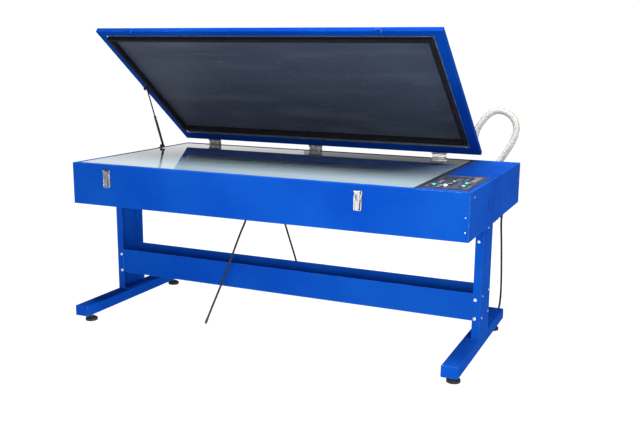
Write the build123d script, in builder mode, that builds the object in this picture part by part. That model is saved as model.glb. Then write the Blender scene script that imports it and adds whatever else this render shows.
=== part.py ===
"""Screen exposure unit: a lit glass table under a hinged vacuum lid, on a two-column stand.

Millimetres.  +X runs along the length to the control end, +Y to the rear, +Z up.  The origin is on the
floor under the middle of the cabinet.  The lid is modelled in its open position.
"""
from math import atan2, cos, degrees, hypot, pi, radians, sin, tan
import os

from build123d import *

os.makedirs("parts", exist_ok=True)

# ---- driving dimensions -------------------------------------------------------------------------
BODY_X = 1076.0            # half length of the cabinet
BODY_Y = 560.0             # half depth of the cabinet
BODY_LOW = 660.0           # underside of the cabinet
TABLE = 880.0              # top of the cabinet and of the glass
SHEET = 2.0                # cabinet sheet
RIM_LEFT = 20.0
RIM_FRONT = 22.0
RIM_REAR = 40.0
COVER_X = 836.0            # where the chamber ends and the control end starts
GASKET = 8.0
GLASS_RIGHT = 810.0
GLASS_T = 10.0

LID_OPEN = 37.0            # opening angle of the lid at rest, degrees
LID_DEPTH = 1089.8
LID_RIGHT = 862.0
LID_T = 25.0
LID_RING = 50.0            # width of the frame around the blanket at the sides, then front and rear
LID_RING_FRONT = 36.0
LID_RING_REAR = 74.0
LID_SHEET = 1.5
STIFFENER_X = (-760.0, -107.0, 546.0)
AXIS_Y = 551.8             # lid hinge axis
AXIS_Z = 906.5
HINGE_X = (-868.0, -158.0, 618.0)
HINGE_W = 85.0
KNUCKLE_R = 6.0
PIN_R = 3.0
RUN_FIT = 0.05             # radial clearance of a pin in a turning hole

LATCH_X = (-851.0, 559.0)
LEVER_Z = 846.0            # pivot of the latch lever
LEVER_Y = -571.0
BAIL_Z = 830.0             # pivot of the wire bail in the lever
BAIL_Y = -568.5
BAIL_L = 68.3
WIRE_R = 1.7

STAND_X = 1066.0           # outer faces of the columns and foot bars
COLUMN_FRONT = -222.0
COLUMN_REAR = -26.0
COLUMN_FLANGE = 38.0
COLUMN_T = 3.0
BAR_W = 80.0
BAR_LOW = 45.0
BAR_TOP = 100.0
BAR_FRONT = -602.0
BAR_REAR = 354.0
BAR_T = 3.0
TROUGH_LOW = 199.0
TROUGH_TOP = 336.0
TROUGH_T = 2.5
FOOT_Y = (-524.0, 276.0)
PAD_R = 33.0
PAD_T = 16.0

PANEL_X = (839.0, 1057.0)
PANEL_Y = (-525.0, -84.0)
PANEL_TOP = TABLE + 2.5
BUTTONS = {"start_button": (873.0, -424.0), "vacuum_button": (1008.0, -418.0),
           "light_button": (1004.0, -331.0)}
ROCKER = (870.0, -221.0)
ROCKER_Z = 878.5           # pivot of the rocker
ROCKER_PIN_R = 1.5
KNOB = (931.0, -440.0)
TIMER = (936.0, -341.0)

STRUT_X = -1043.0
STRUT_BASE = (228.0, 892.0)
STRUT_LID_V = -581.2       # lid pivot of the strut, from the hinge axis, in the closed lid
STRUT_LID_W = -14.5

CORD_R = 5.5
HOSE_R = 19.0
CUFF_R = 21.0              # outside of the hose ends on the elbow and on the port

TURN = {"x": (0, 90, 0), "y": (-90, 0, 0), "z": (0, 0, 0)}
LID = Plane(origin=(0, AXIS_Y, AXIS_Z), x_dir=(1, 0, 0),
            z_dir=(0, sin(radians(LID_OPEN)), cos(radians(LID_OPEN))))


# ---- small helpers ------------------------------------------------------------------------------
def block(x, y, z, mode=Mode.ADD):
    """A box between the low and high bounds x, y and z of the open part's workplane."""
    with Locations((x[0], y[0], z[0])):
        Box(x[1] - x[0], y[1] - y[0], z[1] - z[0], align=(Align.MIN,) * 3, mode=mode)


def rod(start, along, length, radius, mode=Mode.ADD):
    """A round bar from a start point along x, y or z of the open part's workplane."""
    with Locations(start):
        Cylinder(radius, length, rotation=TURN[along], mode=mode,
                 align=(Align.CENTER, Align.CENTER, Align.MIN))


def ring(x, y, z, width):
    """A rectangular frame of the given width, measured inward from its outer bounds."""
    block(x, y, z)
    block((x[0] + width, x[1] - width), (y[0] + width, y[1] - width), z, mode=Mode.SUBTRACT)


def save(piece, name):
    """Label a finished part and write it to its own file."""
    piece.part.label = name
    export_step(piece.part, f"parts/{name}.step")


def around(centre, half):
    """Low and high bounds about a centre."""
    return (centre - half, centre + half)


def lid_point(x, v, w):
    """World place of a point of the lid, v behind and w above the hinge axis in the closed lid."""
    at = LID.from_local_coords((x, v, w))
    return (at.X, at.Y, at.Z)


# ---- cabinet ------------------------------------------------------------------------------------
INNER_Y = (-BODY_Y + SHEET, BODY_Y - SHEET)
LEDGE_TOP = TABLE - GLASS_T
CORD_EXIT = {"front": (-196.0, -247.0), "middle": (-96.0, -20.0), "side": (1048.0, 262.0)}
ELBOW = (930.0, 584.0)     # upright axis of the hose elbow
ELBOW_Z = 720.0


def cabinet_shell():
    """Bent-up tray with the rim round the glass, the welded ledge under it and the lamp divider."""
    with BuildPart() as shell:
        block((-BODY_X, BODY_X - SHEET), (-BODY_Y, BODY_Y), (BODY_LOW, TABLE))
        bent = shell.edges().group_by(Axis.X)
        fillet(bent[0] + bent[1], 2.5)
        block((-BODY_X + SHEET, BODY_X), INNER_Y, (BODY_LOW + SHEET, TABLE - SHEET), mode=Mode.SUBTRACT)
        block((-BODY_X + RIM_LEFT, BODY_X), (-BODY_Y + RIM_FRONT, BODY_Y - RIM_REAR),
              (TABLE - 3 * SHEET, TABLE + SHEET), mode=Mode.SUBTRACT)
        block((COVER_X, BODY_X), (-BODY_Y - 1, BODY_Y + 1), (TABLE - SHEET, TABLE + SHEET),
              mode=Mode.SUBTRACT)
        block((-BODY_X + SHEET, COVER_X), INNER_Y, (LEDGE_TOP - 6, LEDGE_TOP))
        block((-BODY_X + 54, COVER_X - 52), (INNER_Y[0] + 52, INNER_Y[1] - 52),
              (LEDGE_TOP - 7, LEDGE_TOP + 1), mode=Mode.SUBTRACT)
        block((COVER_X - SHEET, COVER_X), INNER_Y, (BODY_LOW + SHEET, LEDGE_TOP))
        for x, y in CORD_EXIT.values():
            rod((x, y, BODY_LOW - 1), "z", SHEET + 2, 8.1, mode=Mode.SUBTRACT)
        rod((ELBOW[0], BODY_Y - SHEET - 1, ELBOW_Z), "y", SHEET + 2, 14.1, mode=Mode.SUBTRACT)
    save(shell, "cabinet_shell")


def right_end_panel():
    """Flat end panel with return flanges and four columns of short vent slots."""
    with BuildPart() as panel:
        block((BODY_X - SHEET, BODY_X), (-BODY_Y, BODY_Y), (BODY_LOW, TABLE - SHEET))
        for side in (-1, 1):
            block((BODY_X - 16, BODY_X - SHEET), sorted((side * (BODY_Y - 4), side * (BODY_Y - SHEET))),
                  (BODY_LOW + SHEET, TABLE - SHEET))
        for y in (-195.0, -75.0, 85.0, 205.0):
            for row in range(6):
                block((BODY_X - 4, BODY_X + 2), around(y, 12), (724.0 + 12.5 * row, 728.2 + 12.5 * row),
                      mode=Mode.SUBTRACT)
    save(panel, "right_end_panel")


def control_cover():
    """Top cover of the control end, with a flange down along the glass and a window for the controls."""
    with BuildPart() as cover:
        block((COVER_X + 0.5, BODY_X), (-BODY_Y, BODY_Y), (TABLE - SHEET, TABLE))
        outside = cover.edges().filter_by(Axis.Y).sort_by(Axis.X)[-2:].sort_by(Axis.Z)[-1]
        fillet(outside, 1.5)
        block((COVER_X + 0.5, COVER_X + 2.5), INNER_Y, (TABLE - 34, TABLE - SHEET))
        block((PANEL_X[0] + 8, PANEL_X[1] - 8), (PANEL_Y[0] + 8, PANEL_Y[1] - 8),
              (TABLE - 2 * SHEET, TABLE + 1), mode=Mode.SUBTRACT)
    save(cover, "control_cover")


def glass():
    """Float glass plate and the rubber strip that fills the slot round it."""
    gx = (-BODY_X + RIM_LEFT + GASKET, GLASS_RIGHT)
    gy = (-BODY_Y + RIM_FRONT + GASKET, BODY_Y - RIM_REAR - GASKET)
    with BuildPart() as plate:
        block(gx, gy, (LEDGE_TOP, TABLE))
    save(plate, "glass_plate")
    with BuildPart() as gasket:
        block((-BODY_X + RIM_LEFT, COVER_X), (-BODY_Y + RIM_FRONT, BODY_Y - RIM_REAR),
              (LEDGE_TOP, TABLE - 0.3))
        block(gx, gy, (LEDGE_TOP, TABLE), mode=Mode.SUBTRACT)
    save(gasket, "glass_gasket")


def lamp_tray():
    """White folded tray on the chamber floor, and the twelve light strips on it."""
    with BuildPart() as tray:
        block((-1040, 820), (-520, 500), (BODY_LOW + SHEET, 742))
        block((-1038.5, 818.5), (-518.5, 498.5), (703.5, 743), mode=Mode.SUBTRACT)
        block((-1038.5, 818.5), (-518.5, 498.5), (BODY_LOW, 702), mode=Mode.SUBTRACT)
    save(tray, "led_tray")
    with BuildPart() as strips:
        with BuildSketch(Plane.XY.offset(703.5)):
            with GridLocations(0, 82, 1, 12):
                with Locations((-110, -10)):
                    Rectangle(1760, 14)
        extrude(amount=2.5)
    save(strips, "led_strips")


def electronics():
    """What the control end holds: lamp drivers, control board, fan and vacuum pump."""
    with BuildPart() as drivers:
        for x in (850.0, 925.0, 1000.0):
            block((x, x + 58), (-520, -320), (BODY_LOW + SHEET, 702))
            for fin in range(5):
                block((x + 6 + 10 * fin, x + 10 + 10 * fin), (-510, -330), (702, 708))
    save(drivers, "led_drivers")
    with BuildPart() as board:
        block((880, 1020), (-250, -60), (676, 678))
        for x in (888, 1008):
            for y in (-240, -75):
                rod((x, y, BODY_LOW + SHEET), "z", 14, 4)
        block((900, 940), (-230, -190), (678, 700))
        block((955, 1010), (-230, -215), (678, 692))
        rod((970, -140, 678), "z", 26, 12)
        rod((1002, -140, 678), "z", 26, 12)
    save(board, "control_board")
    with BuildPart() as frame:
        block((1036, 1062), around(0, 46), around(758, 46))
        rod((1035, 0, 758), "x", 28, 42, mode=Mode.SUBTRACT)
        rod((1036, 0, 758), "x", 3, 14)
        for turn in (0, 90):
            with Locations((1037.5, 0, 758)):
                Box(3, 90, 6, rotation=(turn, 0, 0))
        rod((1039, 0, 758), "x", 20, 2.5)
    save(frame, "fan_frame")
    with BuildPart(Plane(origin=(1040, 0, 758), z_dir=(1, 0, 0))) as rotor:
        rod((0, 0, 0), "z", 18, 16)
        with PolarLocations(27, 7):
            with Locations((0, 0, 9)):
                Box(24, 1.6, 18, rotation=(35, 0, 0))
        rod((0, 0, -1), "z", 22, 2.5 + RUN_FIT, mode=Mode.SUBTRACT)
    save(rotor, "fan_rotor")
    with BuildPart() as pump:
        rod((970, 300, 728), "y", 150, 46)
        block((925, 1015), (430, 500), (676, 775))
        block((925, 1015), (312, 430), (676, 690))
        for fin in range(8):
            rod((970, 316 + 14 * fin, 728), "y", 4, 52)
        rod((ELBOW[0], 499, ELBOW_Z), "y", 21, 12)
        for x in (935, 1005):
            for y in (325, 485):
                rod((x, y, BODY_LOW + SHEET), "z", 14, 9)
    save(pump, "vacuum_pump")


def control_panel():
    """Dark control plate with its switches, timer and knob."""
    with BuildPart() as plate:
        block(PANEL_X, PANEL_Y, (TABLE, PANEL_TOP))
        fillet(plate.edges().filter_by(Axis.Z), 4)
        for x, y in BUTTONS.values():
            rod((x, y, TABLE - 1), "z", 5, 11.2, mode=Mode.SUBTRACT)
        rod((KNOB[0], KNOB[1], TABLE - 1), "z", 5, PIN_R + RUN_FIT, mode=Mode.SUBTRACT)
        block(around(ROCKER[0], 9.2), around(ROCKER[1], 13.2), (TABLE - 1, PANEL_TOP + 1),
              mode=Mode.SUBTRACT)
        block(around(TIMER[0], 9), around(TIMER[1], 48), (TABLE - 1, PANEL_TOP + 1), mode=Mode.SUBTRACT)
    save(plate, "control_panel")

    with BuildPart() as housings:
        for x, y in BUTTONS.values():
            rod((x, y, PANEL_TOP), "z", 2.5, 14)
            rod((x, y, 852), "z", PANEL_TOP - 852, 11)
            rod((x, y, 855), "z", 60, 9.3, mode=Mode.SUBTRACT)
        block(around(ROCKER[0], 11), around(ROCKER[1], 15), (PANEL_TOP, PANEL_TOP + 1.5))
        block(around(ROCKER[0], 9), around(ROCKER[1], 13), (858, PANEL_TOP))
        block(around(ROCKER[0], 7.2), around(ROCKER[1], 11.4), (861, PANEL_TOP + 3), mode=Mode.SUBTRACT)
        rod((ROCKER[0] - 8.8, ROCKER[1], ROCKER_Z), "x", 17.6, ROCKER_PIN_R + RUN_FIT, mode=Mode.SUBTRACT)
    save(housings, "switch_housings")

    for name, (x, y) in BUTTONS.items():
        with BuildPart() as cap:
            rod((x, y, 868), "z", 21, 9)
            fillet(cap.edges().group_by(Axis.Z)[-1], 1.5)
        save(cap, name)
    with BuildPart() as rocker:
        with BuildSketch(Plane.YZ.offset(ROCKER[0] - 6.8)):
            with BuildLine():
                Polyline((ROCKER[1] - 9.6, 880.5), (ROCKER[1] - 9.6, 883.5), (ROCKER[1], 882.2),
                         (ROCKER[1] + 9.6, 887.2), (ROCKER[1] + 9.6, 880.5), (ROCKER[1], 874.0),
                         (ROCKER[1] - 9.6, 880.5))
            make_face()
        extrude(amount=13.6)
        rod((ROCKER[0] - 8.6, ROCKER[1], ROCKER_Z), "x", 17.2, ROCKER_PIN_R)
    save(rocker, "power_rocker")

    with BuildPart() as timer:
        block(around(TIMER[0], 11), around(TIMER[1], 50), (PANEL_TOP, PANEL_TOP + 3))
        fillet(timer.edges().filter_by(Axis.Z), 3)
        block(around(TIMER[0], 8.6), around(TIMER[1], 47.6), (850, PANEL_TOP))
        block(around(TIMER[0], 7), (TIMER[1] - 6, TIMER[1] + 40), (PANEL_TOP + 1.8, PANEL_TOP + 4),
              mode=Mode.SUBTRACT)
    save(timer, "timer_module")
    with BuildPart() as knob:
        rod((KNOB[0], KNOB[1], PANEL_TOP + 0.4), "z", 12, 9)
        fillet(knob.edges().group_by(Axis.Z)[-1], 1.2)
        rod((KNOB[0], KNOB[1], 862), "z", 22, PIN_R)
        block(around(KNOB[0], 0.5), (KNOB[1] - 9.5, KNOB[1] - 3), (PANEL_TOP + 9, PANEL_TOP + 14),
              mode=Mode.SUBTRACT)
    save(knob, "timer_knob")


# ---- lid ----------------------------------------------------------------------------------------
LID_V = (-8.0 - LID_DEPTH, -8.0)           # front and rear walls, from the hinge axis
LID_W = (-2.5, LID_T - 2.5)                # underside and top, from the hinge axis
LID_X = (-BODY_X, LID_RIGHT)
INNER_X = (LID_X[0] + LID_RING, LID_X[1] - LID_RING)
INNER_V = (LID_V[0] + LID_RING_FRONT, LID_V[1] - LID_RING_REAR)
PORT = (826.0, -88.0)                      # suction port of the lid


def lid():
    """Lid tray, blanket and seal, in the tilted plane of the open lid."""
    with BuildPart(LID) as shell:
        block(LID_X, LID_V, LID_W)
        fillet(shell.edges(), 3)
        block((LID_X[0] + LID_SHEET, LID_X[1] - LID_SHEET), (LID_V[0] + LID_SHEET, LID_V[1] - LID_SHEET),
              (LID_W[0] + LID_SHEET, LID_W[1] - LID_SHEET), mode=Mode.SUBTRACT)
        block(INNER_X, INNER_V, (LID_W[0] - 1, LID_W[0] + LID_SHEET + 1), mode=Mode.SUBTRACT)
        rod((PORT[0], PORT[1], LID_W[1] - 5), "z", 10, 14, mode=Mode.SUBTRACT)
    save(shell, "lid_shell")

    with BuildPart(LID) as trim:
        ring(INNER_X, INNER_V, (LID_W[0] - 1.0, 4.0), 5)
    save(trim, "lid_inner_trim")
    sheet_x = (INNER_X[0] - 20, INNER_X[1] + 20)
    sheet_v = (INNER_V[0] - 20, INNER_V[1] + 20)
    with BuildPart(LID) as blanket:
        block(sheet_x, sheet_v, (4.0, 7.0))
    save(blanket, "vacuum_blanket")
    with BuildPart(LID) as strips:
        block((sheet_x[0], sheet_x[1]), (sheet_v[0], sheet_v[0] + 30), (7.0, 10.0))
        block((sheet_x[0], sheet_x[1]), (sheet_v[1] - 30, sheet_v[1]), (7.0, 10.0))
        block((sheet_x[0], sheet_x[0] + 30), (sheet_v[0] + 31, sheet_v[1] - 31), (7.0, 10.0))
        block((sheet_x[1] - 30, sheet_x[1]), (sheet_v[0] + 31, sheet_v[1] - 31), (7.0, 10.0))
    save(strips, "blanket_clamp_strips")
    with BuildPart(LID) as bead:
        ring((INNER_X[0] + 6, INNER_X[1] - 6), (INNER_V[0] + 6, INNER_V[1] - 58), (-25.9, 4.0), 20)
        fillet(bead.edges().group_by(Axis(LID.origin, LID.z_dir))[0], 6)
    save(bead, "seal_bead")
    with BuildPart(LID) as hats:
        span = (LID_V[0] + LID_SHEET, LID_V[1] - LID_SHEET)
        for x in STIFFENER_X:
            block(around(x, 30), span, (LID_W[1] - 2 * LID_SHEET, LID_W[1] - LID_SHEET))
            block(around(x, 15), span, (10.5, LID_W[1] - 2 * LID_SHEET))
            block(around(x, 13.5), LID_V, (12, LID_W[1]), mode=Mode.SUBTRACT)
    save(hats, "lid_stiffeners")

    with BuildPart(LID) as port:
        rod((PORT[0], PORT[1], LID_W[1]), "z", 3, 30)
        rod((PORT[0], PORT[1], LID_W[1] - 12), "z", 14, 13.8)
        rod((PORT[0], PORT[1], LID_W[1] + 2), "z", 20, CUFF_R)
        rod((PORT[0], PORT[1], LID_W[1] - 13), "z", 30, 11, mode=Mode.SUBTRACT)
    save(port, "lid_hose_port")


def lid_hinges():
    """Three butt hinges: risers on the rear rim, leaves on the lid, and their pins."""
    pitch = HINGE_W / 5
    with BuildPart() as risers:
        for centre in HINGE_X:
            span = around(centre, HINGE_W / 2)
            block(span, (521, AXIS_Y + KNUCKLE_R), (TABLE, TABLE + 3))
            block(span, (AXIS_Y + KNUCKLE_R - 3, AXIS_Y + KNUCKLE_R), (TABLE, AXIS_Z - 8))
            for seat in (0, 2, 4):
                knuckle = span[0] + pitch * seat
                block((knuckle, knuckle + pitch - 0.6), (AXIS_Y + KNUCKLE_R - 3, AXIS_Y + KNUCKLE_R),
                      (AXIS_Z - 8, AXIS_Z))
                rod((knuckle, AXIS_Y, AXIS_Z), "x", pitch - 0.6, KNUCKLE_R)
            for x in (-28, 28):
                rod((centre + x, 536, TABLE + 3), "z", 2.5, 5)
            rod((span[0] - 1, AXIS_Y, AXIS_Z), "x", HINGE_W + 2, PIN_R + RUN_FIT, mode=Mode.SUBTRACT)
    save(risers, "hinge_risers")
    with BuildPart(LID) as leaves:
        for centre in HINGE_X:
            span = around(centre, HINGE_W / 2)
            block(span, (-8, -KNUCKLE_R), (7, LID_W[1] - 2))
            for seat in (1, 3):
                knuckle = span[0] + pitch * seat
                block((knuckle, knuckle + pitch - 0.6), (-8, -3.5), (-1, 7.5))
                rod((knuckle, 0, 0), "x", pitch - 0.6, KNUCKLE_R)
            for x in (-28, 0, 28):
                rod((centre + x, -KNUCKLE_R, 14), "y", 1.5, 4)
            rod((span[0] - 1, 0, 0), "x", HINGE_W + 2, PIN_R + RUN_FIT, mode=Mode.SUBTRACT)
    save(leaves, "hinge_leaves")
    with BuildPart() as pins:
        for centre in HINGE_X:
            rod((centre - HINGE_W / 2 - 1, AXIS_Y, AXIS_Z), "x", HINGE_W + 2, PIN_R)
            rod((centre - HINGE_W / 2 - 3, AXIS_Y, AXIS_Z), "x", 2.5, 4.5)
    save(pins, "hinge_pins")


def gas_strut():
    """Gas strut of the left side, at its open length, and the brackets at its ends."""
    lid_end = lid_point(STRUT_X, STRUT_LID_V, STRUT_LID_W)
    dy = lid_end[1] - STRUT_BASE[0]
    dz = lid_end[2] - STRUT_BASE[1]
    open_length = hypot(dy, dz)
    closed_length = hypot(AXIS_Y + STRUT_LID_V - STRUT_BASE[0], AXIS_Z + STRUT_LID_W - STRUT_BASE[1])
    print("strut open", round(open_length, 3), "closed", round(closed_length, 3),
          "direction", round(dy / open_length, 5), round(dz / open_length, 5),
          "turn", round(degrees(atan2(dz, -dy)), 3))
    line = Plane(origin=(STRUT_X, *STRUT_BASE), x_dir=(1, 0, 0), z_dir=(0, dy, dz))
    with BuildPart(line) as cylinder:
        rod((0, 0, 4), "z", 201, 7.5)
        rod((-7.5, 0, 0), "x", 15, 7.4)
        rod((-8, 0, 0), "x", 16, 4 + RUN_FIT, mode=Mode.SUBTRACT)
        rod((0, 0, 16), "z", 179, 6, mode=Mode.SUBTRACT)
        rod((0, 0, 190), "z", 20, 4 + RUN_FIT, mode=Mode.SUBTRACT)
    save(cylinder, "strut_cylinder")
    with BuildPart(line) as piston_rod:
        rod((0, 0, 165), "z", open_length - 165, 4)
        rod((-7.5, 0, open_length), "x", 15, 7.4)
    save(piston_rod, "strut_rod")
    with BuildPart() as bracket:
        block((-1074, -1058), around(STRUT_BASE[0], 15), (TABLE, TABLE + 3))
        block((-1061, -1058), around(STRUT_BASE[0], 9), (TABLE, STRUT_BASE[1] + 8))
        rod((-1058, *STRUT_BASE), "x", 23, 4)
    save(bracket, "strut_base_bracket")
    with BuildPart(LID) as upper:
        block((-1074, -1058), around(STRUT_LID_V, 15), (LID_W[0] - 3, LID_W[0]))
        block((-1061, -1058), around(STRUT_LID_V, 9), (STRUT_LID_W - 8, LID_W[0] - 3))
        rod((-1058, STRUT_LID_V, STRUT_LID_W), "x", 7.1, 4)
    save(upper, "strut_lid_bracket")


# ---- latches ------------------------------------------------------------------------------------
def latches():
    """Two draw latches on the front: base, lever and wire bail each, and keepers on the lid."""
    with BuildPart() as bases:
        for centre in LATCH_X:
            block(around(centre, 19), (-BODY_Y - 2, -BODY_Y), (768, 852))
            for side in (-1, 1):
                cheek = sorted((centre + side * 13.6, centre + side * 15.4))
                block(cheek, (LEVER_Y, -BODY_Y - 1), around(LEVER_Z, 8))
                rod((cheek[0], LEVER_Y, LEVER_Z), "x", cheek[1] - cheek[0], 8)
            rod((centre - 15.4, LEVER_Y, LEVER_Z), "x", 30.8, PIN_R)
    save(bases, "latch_bases")
    for side, centre in zip(("left", "right"), LATCH_X):
        with BuildPart() as lever:
            rod((centre - 13.2, LEVER_Y, LEVER_Z), "x", 26.4, 5)
            block(around(centre, 11), (-576, -574.2), (766, 804))
            block(around(centre, 13.2), (-576, -574.2), (804, LEVER_Z))
            block(around(centre, 8.5), (-577, -573), (808, 836), mode=Mode.SUBTRACT)
            block(around(centre, 11), (-580.5, -574.2), (766, 768))
            for flange in ((centre - 13.2, centre - 11.2), (centre + 11.2, centre + 13.2)):
                block(flange, (-576, -565.5), (822, LEVER_Z))
            rod((centre - 14, LEVER_Y, LEVER_Z), "x", 28, PIN_R + RUN_FIT, mode=Mode.SUBTRACT)
            rod((centre - 14, BAIL_Y, BAIL_Z), "x", 28, WIRE_R + RUN_FIT, mode=Mode.SUBTRACT)
        save(lever, f"latch_lever_{side}")
        with BuildPart() as bail:
            with BuildLine(Plane.XZ.offset(-BAIL_Y)) as wire:
                FilletPolyline((centre - 11.4, BAIL_Z), (centre - 17.4, BAIL_Z),
                               (centre - 17.4, BAIL_Z - BAIL_L), (centre + 17.4, BAIL_Z - BAIL_L),
                               (centre + 17.4, BAIL_Z), (centre + 11.4, BAIL_Z), radius=3)
            with BuildSketch(Plane(origin=wire.line @ 0, z_dir=wire.line % 0)):
                Circle(WIRE_R)
            sweep()
        save(bail, f"latch_bail_{side}")
    with BuildPart(LID) as keepers:
        front = LID_V[0]
        for centre in LATCH_X:
            block(around(centre, 12), (front - 3, front), (-13, LID_W[1] - 4))
            block(around(centre, 12), (front - 23.5, front), (-13, -10.5))
            block(around(centre, 12), (front - 23.5, front - 21), (-13, -5.5))
    save(keepers, "latch_keepers")


# ---- stand --------------------------------------------------------------------------------------
def stand():
    """Foot bars, C columns, cross trough, levelling feet, and the screws and bolts of stand and cabinet."""
    for name, side in (("left", -1), ("right", 1)):
        outer = side * STAND_X
        with BuildPart() as bar:
            span = sorted((outer, outer - side * BAR_W))
            block(span, (BAR_FRONT, BAR_REAR), (BAR_LOW, BAR_TOP))
            fillet(bar.edges().filter_by(Axis.Y), 3)
            block((span[0] + BAR_T, span[1] - BAR_T), (BAR_FRONT + BAR_T, BAR_REAR - BAR_T),
                  (BAR_LOW + BAR_T, BAR_TOP - BAR_T), mode=Mode.SUBTRACT)
            for y in FOOT_Y:
                rod((outer - side * BAR_W / 2, y, BAR_LOW + BAR_T), "z", 10, 11)
                rod((outer - side * BAR_W / 2, y, BAR_LOW - 1), "z", 20, 6 + RUN_FIT, mode=Mode.SUBTRACT)
        save(bar, f"foot_bar_{name}")
        with BuildPart() as column:
            web = sorted((outer, outer - side * COLUMN_T))
            flange = sorted((outer, outer - side * COLUMN_FLANGE))
            block(web, (COLUMN_FRONT, COLUMN_REAR), (BAR_TOP, BODY_LOW))
            block(flange, (COLUMN_FRONT, COLUMN_FRONT + COLUMN_T), (BAR_TOP, BODY_LOW))
            block(flange, (COLUMN_REAR - COLUMN_T, COLUMN_REAR), (BAR_TOP, BODY_LOW))
            block(sorted((outer, outer - side * 70)), (COLUMN_FRONT, COLUMN_REAR), (BAR_TOP, BAR_TOP + 5))
            block(sorted((outer, outer - side * 100)), (COLUMN_FRONT, COLUMN_REAR),
                  (BODY_LOW - 5, BODY_LOW))
        save(column, f"column_{name}")
    with BuildPart() as trough:
        reach = STAND_X - COLUMN_T
        depth = (COLUMN_FRONT + COLUMN_T, COLUMN_REAR - COLUMN_T)
        block((-reach, reach), depth, (TROUGH_LOW, TROUGH_TOP))
        block((-reach - 1, reach + 1), (depth[0] + TROUGH_T, depth[1] - TROUGH_T),
              (TROUGH_LOW + TROUGH_T, TROUGH_TOP + 1), mode=Mode.SUBTRACT)
    save(trough, "cross_trough")

    with BuildPart() as bolts:
        for side in (-1, 1):
            for z in (210.0, 305.0):
                rod((side * 1040, COLUMN_FRONT - 6, z), "y", 6, 8.5)
                rod((side * 1040, COLUMN_REAR, z), "y", 6, 8.5)
            rod((side * 1045, COLUMN_FRONT - 5, 592), "y", 5, 7)
            for y, z in ((-124, 645), (-180, 316), (-50, 316), (-180, 206), (-50, 206)):
                rod((sorted((side * STAND_X, side * (STAND_X + 3)))[0], y, z), "x", 3, 5)
            for y in (-200, -48):
                rod((side * 985, y, BODY_LOW - 11), "z", 6, 8.5)
        for z in (703.0, 770.0):
            rod((1059, -BODY_Y - 2, z), "y", 2, 3.2)
        for y, z in ((-476.0, 849.0), (536.0, 788.0)):
            rod((BODY_X, y, z), "x", 2, 3.5)
    save(bolts, "screws_and_bolts")
    for x_name, x in (("left", -STAND_X + BAR_W / 2), ("right", STAND_X - BAR_W / 2)):
        for y_name, y in zip(("front", "rear"), FOOT_Y):
            with BuildPart() as foot:
                rod((x, y, 0), "z", PAD_T, PAD_R)
                fillet(foot.edges().group_by(Axis.Z)[-1], 5)
                fillet(foot.edges().group_by(Axis.Z)[0], 2.5)
                rod((x, y, PAD_T), "z", 6, 20)
                rod((x, y, 22), "z", 52, 6)
                with BuildSketch(Plane.XY.offset(34)) as nut:
                    with Locations((x, y)):
                        RegularPolygon(11, 6)
                extrude(nut.sketch, amount=9)
            save(foot, f"levelling_foot_{x_name}_{y_name}")


# ---- hose and cords -----------------------------------------------------------------------------
HOSE = ((930, 584, 772), (930, 584, 806), (940, 583, 845), (961, 582, 884), (985, 582, 923),
        (1008, 582, 961), (1028, 583, 1002), (1041, 584, 1047), (1037, 585, 1092), (1013, 586, 1130),
        (973, 586, 1155), (927, 584, 1160), (886, 579, 1138), (858, 568, 1106), (838, 556, 1072),
        lid_point(PORT[0], PORT[1], LID_W[1] + 80),
        lid_point(PORT[0], PORT[1], LID_W[1] + 22))
FRONT_CORD = ((-196, -247, 620), (-196, -247, 602), (-207, -250, 568), (-223, -257, 529), (-244, -267, 468),
              (-264, -276, 408), (-285, -285, 344), (-310, -296, 271), (-336, -306, 201), (-362, -316, 133),
              (-380, -322.8, 86), (-396.7, -329.5, 40.2))
MIDDLE_CORD = ((-96, -20, 620), (-96, -20, 586), (-92, -2, 540), (-87, 28, 474), (-83, 65, 400),
               (-81, 108, 322), (-84, 156, 240), (-92, 210, 160), (-106, 268, 84), (-130, 326, 32),
               (-166, 380, 11), (-214, 430, 6.2), (-274, 466, 6.0), (-338, 480, 7.6), (-398, 479, 7.6))
SIDE_CORD = ((1048, 262, 620), (1048, 262, 586), (1050, 272, 530), (1052, 285, 452), (1053, 300, 366),
             (1053, 319, 278), (1050, 341, 198), (1044, 363, 132), (1034, 377, 78), (1014, 389, 36),
             (980, 400, 13), (938, 409, 6.4), (880, 423, 6.0), (819, 440.5, 6.0), (760.3, 458.9, 6.0))
COIL = (780.0, 520.0)      # middle of the put-away coil of the side cord
COIL_IN = 35.5
COIL_OUT = 68.5
COIL_HIGH = 22.0


def tube(route, radius, name):
    """A round tube along straight runs joined by the largest tangent arcs that they allow."""
    points = [Vector(*p) for p in route]
    radii = []
    for before, at, after in zip(points, points[1:], points[2:]):
        turn = (at - before).get_angle(after - at)
        shorter = min((at - before).length, (after - at).length)
        radii.append(0.45 * shorter / tan(radians(turn) / 2))
    with BuildPart() as cord:
        with BuildLine() as path:
            FilletPolyline(*points, radius=radii)
        with BuildSketch(Plane(origin=path.line @ 0, z_dir=path.line % 0)):
            Circle(radius)
        sweep(transition=Transition.ROUND)
    length = sum(edge.length for edge in path.edges())
    print(name, "length", round(length), "radii", [round(bend) for bend in radii],
          "volume ratio", round(cord.part.volume / (pi * radius ** 2 * length), 4))
    save(cord, name)


def plug(at, toward, name):
    """A moulded three-pin plug whose cord enters at a point and which points along a level direction."""
    flat = Plane(origin=at, x_dir=(-toward[1], toward[0], 0), z_dir=(toward[0], toward[1], 0))
    with BuildPart(flat) as body:
        with BuildSketch(flat):
            Circle(6.4)
        with BuildSketch(flat.offset(26)):
            Circle(8)
        loft()
        with BuildSketch(flat.offset(26)) as grip:
            RectangleRounded(28, 12.4, 4)
        extrude(grip.sketch, amount=30)
        for across in (-8.0, 0.0, 8.0):
            rod((across, 0, 56), "z", 16, 2)
    save(body, name)


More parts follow.
